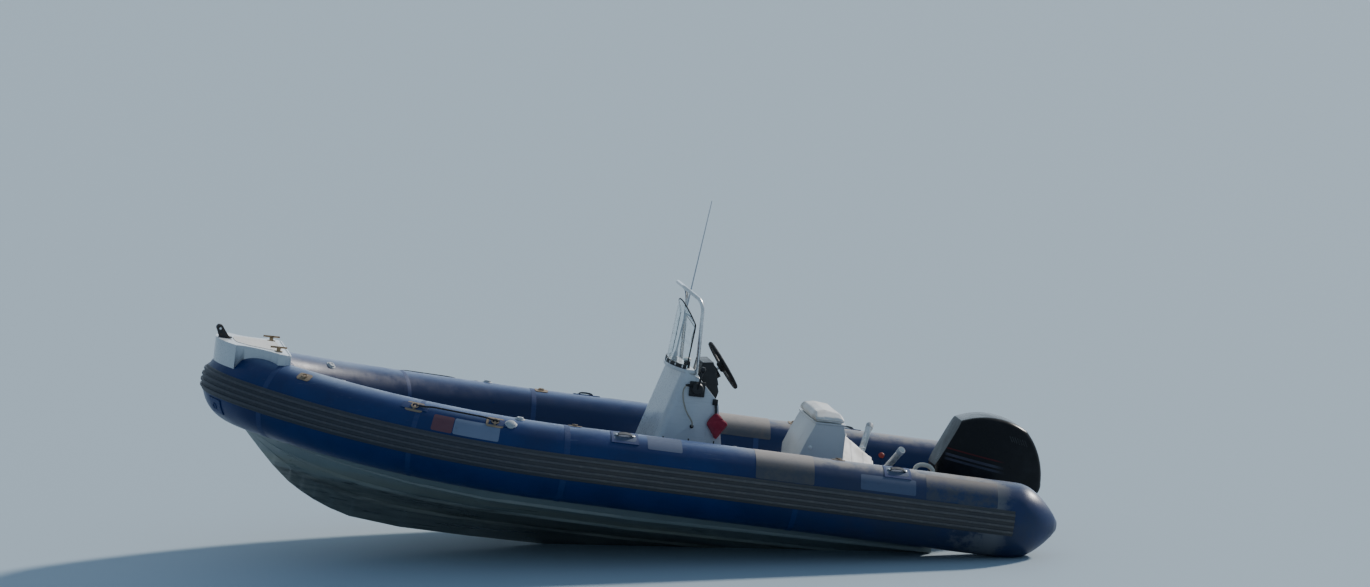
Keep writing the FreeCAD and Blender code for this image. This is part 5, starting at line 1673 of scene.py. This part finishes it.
def addCowl():
    form = nodeForm("engine_cowl", 0.15)
    origin, way = (Vector(values) for values in engineLook["shave"])
    cut = bmesh.ops.bisect_plane(form, geom=everything(form), dist=1e-5, plane_co=origin, plane_no=way,
                                 clear_outer=True)["geom_cut"]
    bmesh.ops.edgenet_fill(form, edges=picked(cut, BMEdge))
    rim = [edge for edge in form.edges if all(abs((vert.co - origin).dot(way)) < 1e-4 for vert in edge.verts)]
    bevel(form, rim, 0.012, 4)
    settle(form, "engine_cowl_shell", "cowl", "engine", ["engine_cowl"], smooth=42, clean=False)
    meet = onForm("engine_cowl")
    slits, seal = bmesh.new(), bmesh.new()
    lean = Matrix.Rotation(0.5, 4, "Y")
    for hand in (1, -1):
        for k in range(7):
            spot, normal = meet((-2.380 + 0.018 * k, 0.5 * hand, 0.640 + 0.004 * k), (0, -hand, 0))
            turn = Vector((0, hand, 0)).rotation_difference(normal).to_matrix().to_4x4()
            addMoved(slits, Matrix.Translation(spot) @ turn @ lean, (-0.0045, -0.002, -0.024),
                     (0.0045, 0.002, 0.024), 0.0015)
    settle(slits, "cowl_air_slots", "rubber", "engine")
    spot = meet((-2.8, 0, 0.40), (1, 0, 0))[0]
    build("cowl_latch", "blackPlastic", [
        (addBlock, spot + Vector((-0.008, -0.030, -0.016)), spot + Vector((0.004, 0.030, 0.016)), 0.004, 3),
        (addBlock, spot + Vector((-0.014, -0.014, -0.034)),
         spot + Vector((-0.004, 0.014, 0.006)), 0.004, 3)], "engine")
    meet = onForm("engine_pan")
    for hand in (1, -1):
        addTurned(seal, mm(0, 3.5, 0, 6, 10, 5, 10, 3.5),
                  *meet((-2.30, 0.4 * hand, 0.262), (0, -hand, 0)), 16)
    settle(seal, "telltale_outlets", "rubber", "engine")


addBracket()
addLeg()
addCowl()
print("engine made")


# Pale floor and backdrop: the camera and clear reflections see one tone, the bounced light another
skyLook = {"lit": (0.34, 0.43, 0.49), "seen": (0.45, 0.55, 0.61), "sky": (0.30, 0.40, 0.50),
           "fill": (0.46, 0.68, 1.0), "fillStrength": 0.36, "lamps": {
               "sun": (3.4, 6, (1.0, 0.96, 0.90), (-0.60, -0.52, 0.60)),
               "farSky": (0.5, 50, (0.75, 0.88, 1.0), (-0.15, -0.9, 0.42))}}


# One where the camera, a reflection or glass looks at the surface
def seenShare(p):
    rays = p.node("LightPath")
    clear = p.calc("MAXIMUM", rays["Is Glossy Ray"], rays["Is Transmission Ray"])
    return p.calc("MAXIMUM", rays["Is Camera Ray"], clear)


def addFloor():
    upWay, ahead = viewAxes()
    form = bmesh.new()
    bmesh.ops.create_grid(form, x_segments=1, y_segments=1, size=60)
    place = Matrix.Translation((0, 0, viewLook["waterAtOrigin"])) @ axes(ahead, upWay.cross(ahead), upWay)
    bmesh.ops.transform(form, matrix=place, verts=form.verts)
    mesh = bpy.data.meshes.new("floor")
    form.to_mesh(mesh)
    form.free()
    p = Paint("floor", 0.8)
    mesh.materials.append(p.finish(p.mix(seenShare(p), skyLook["lit"], skyLook["seen"])))
    link("floor", mesh)


def addLights():
    world = bpy.data.worlds.new("sky")
    bpy.context.scene.world = world
    world.use_nodes = True
    sky = Tree(world.node_tree)
    fill = world.node_tree.nodes["Background"]
    sky.plug(fill.inputs["Color"], skyLook["fill"])
    sky.plug(fill.inputs["Strength"], skyLook["fillStrength"])
    choice = world.node_tree.nodes.new("ShaderNodeMixShader")
    seen = sky.node("Background", Color=skyLook["sky"], Strength=1.0)[0]
    for socket, value in zip(choice.inputs, (seenShare(sky), fill.outputs[0], seen)):
        sky.plug(socket, value)
    sky.plug(world.node_tree.nodes["World Output"].inputs["Surface"], choice.outputs[0])
    for name, (energy, angle, colour, way) in skyLook["lamps"].items():
        light = bpy.data.lights.new(name, "SUN")
        light.energy, light.angle, light.color = energy, math.radians(angle), colour
        link(name, light).matrix_world = Vector(way).to_track_quat("Z", "Y").to_matrix().to_4x4()


addFloor()
addLights()
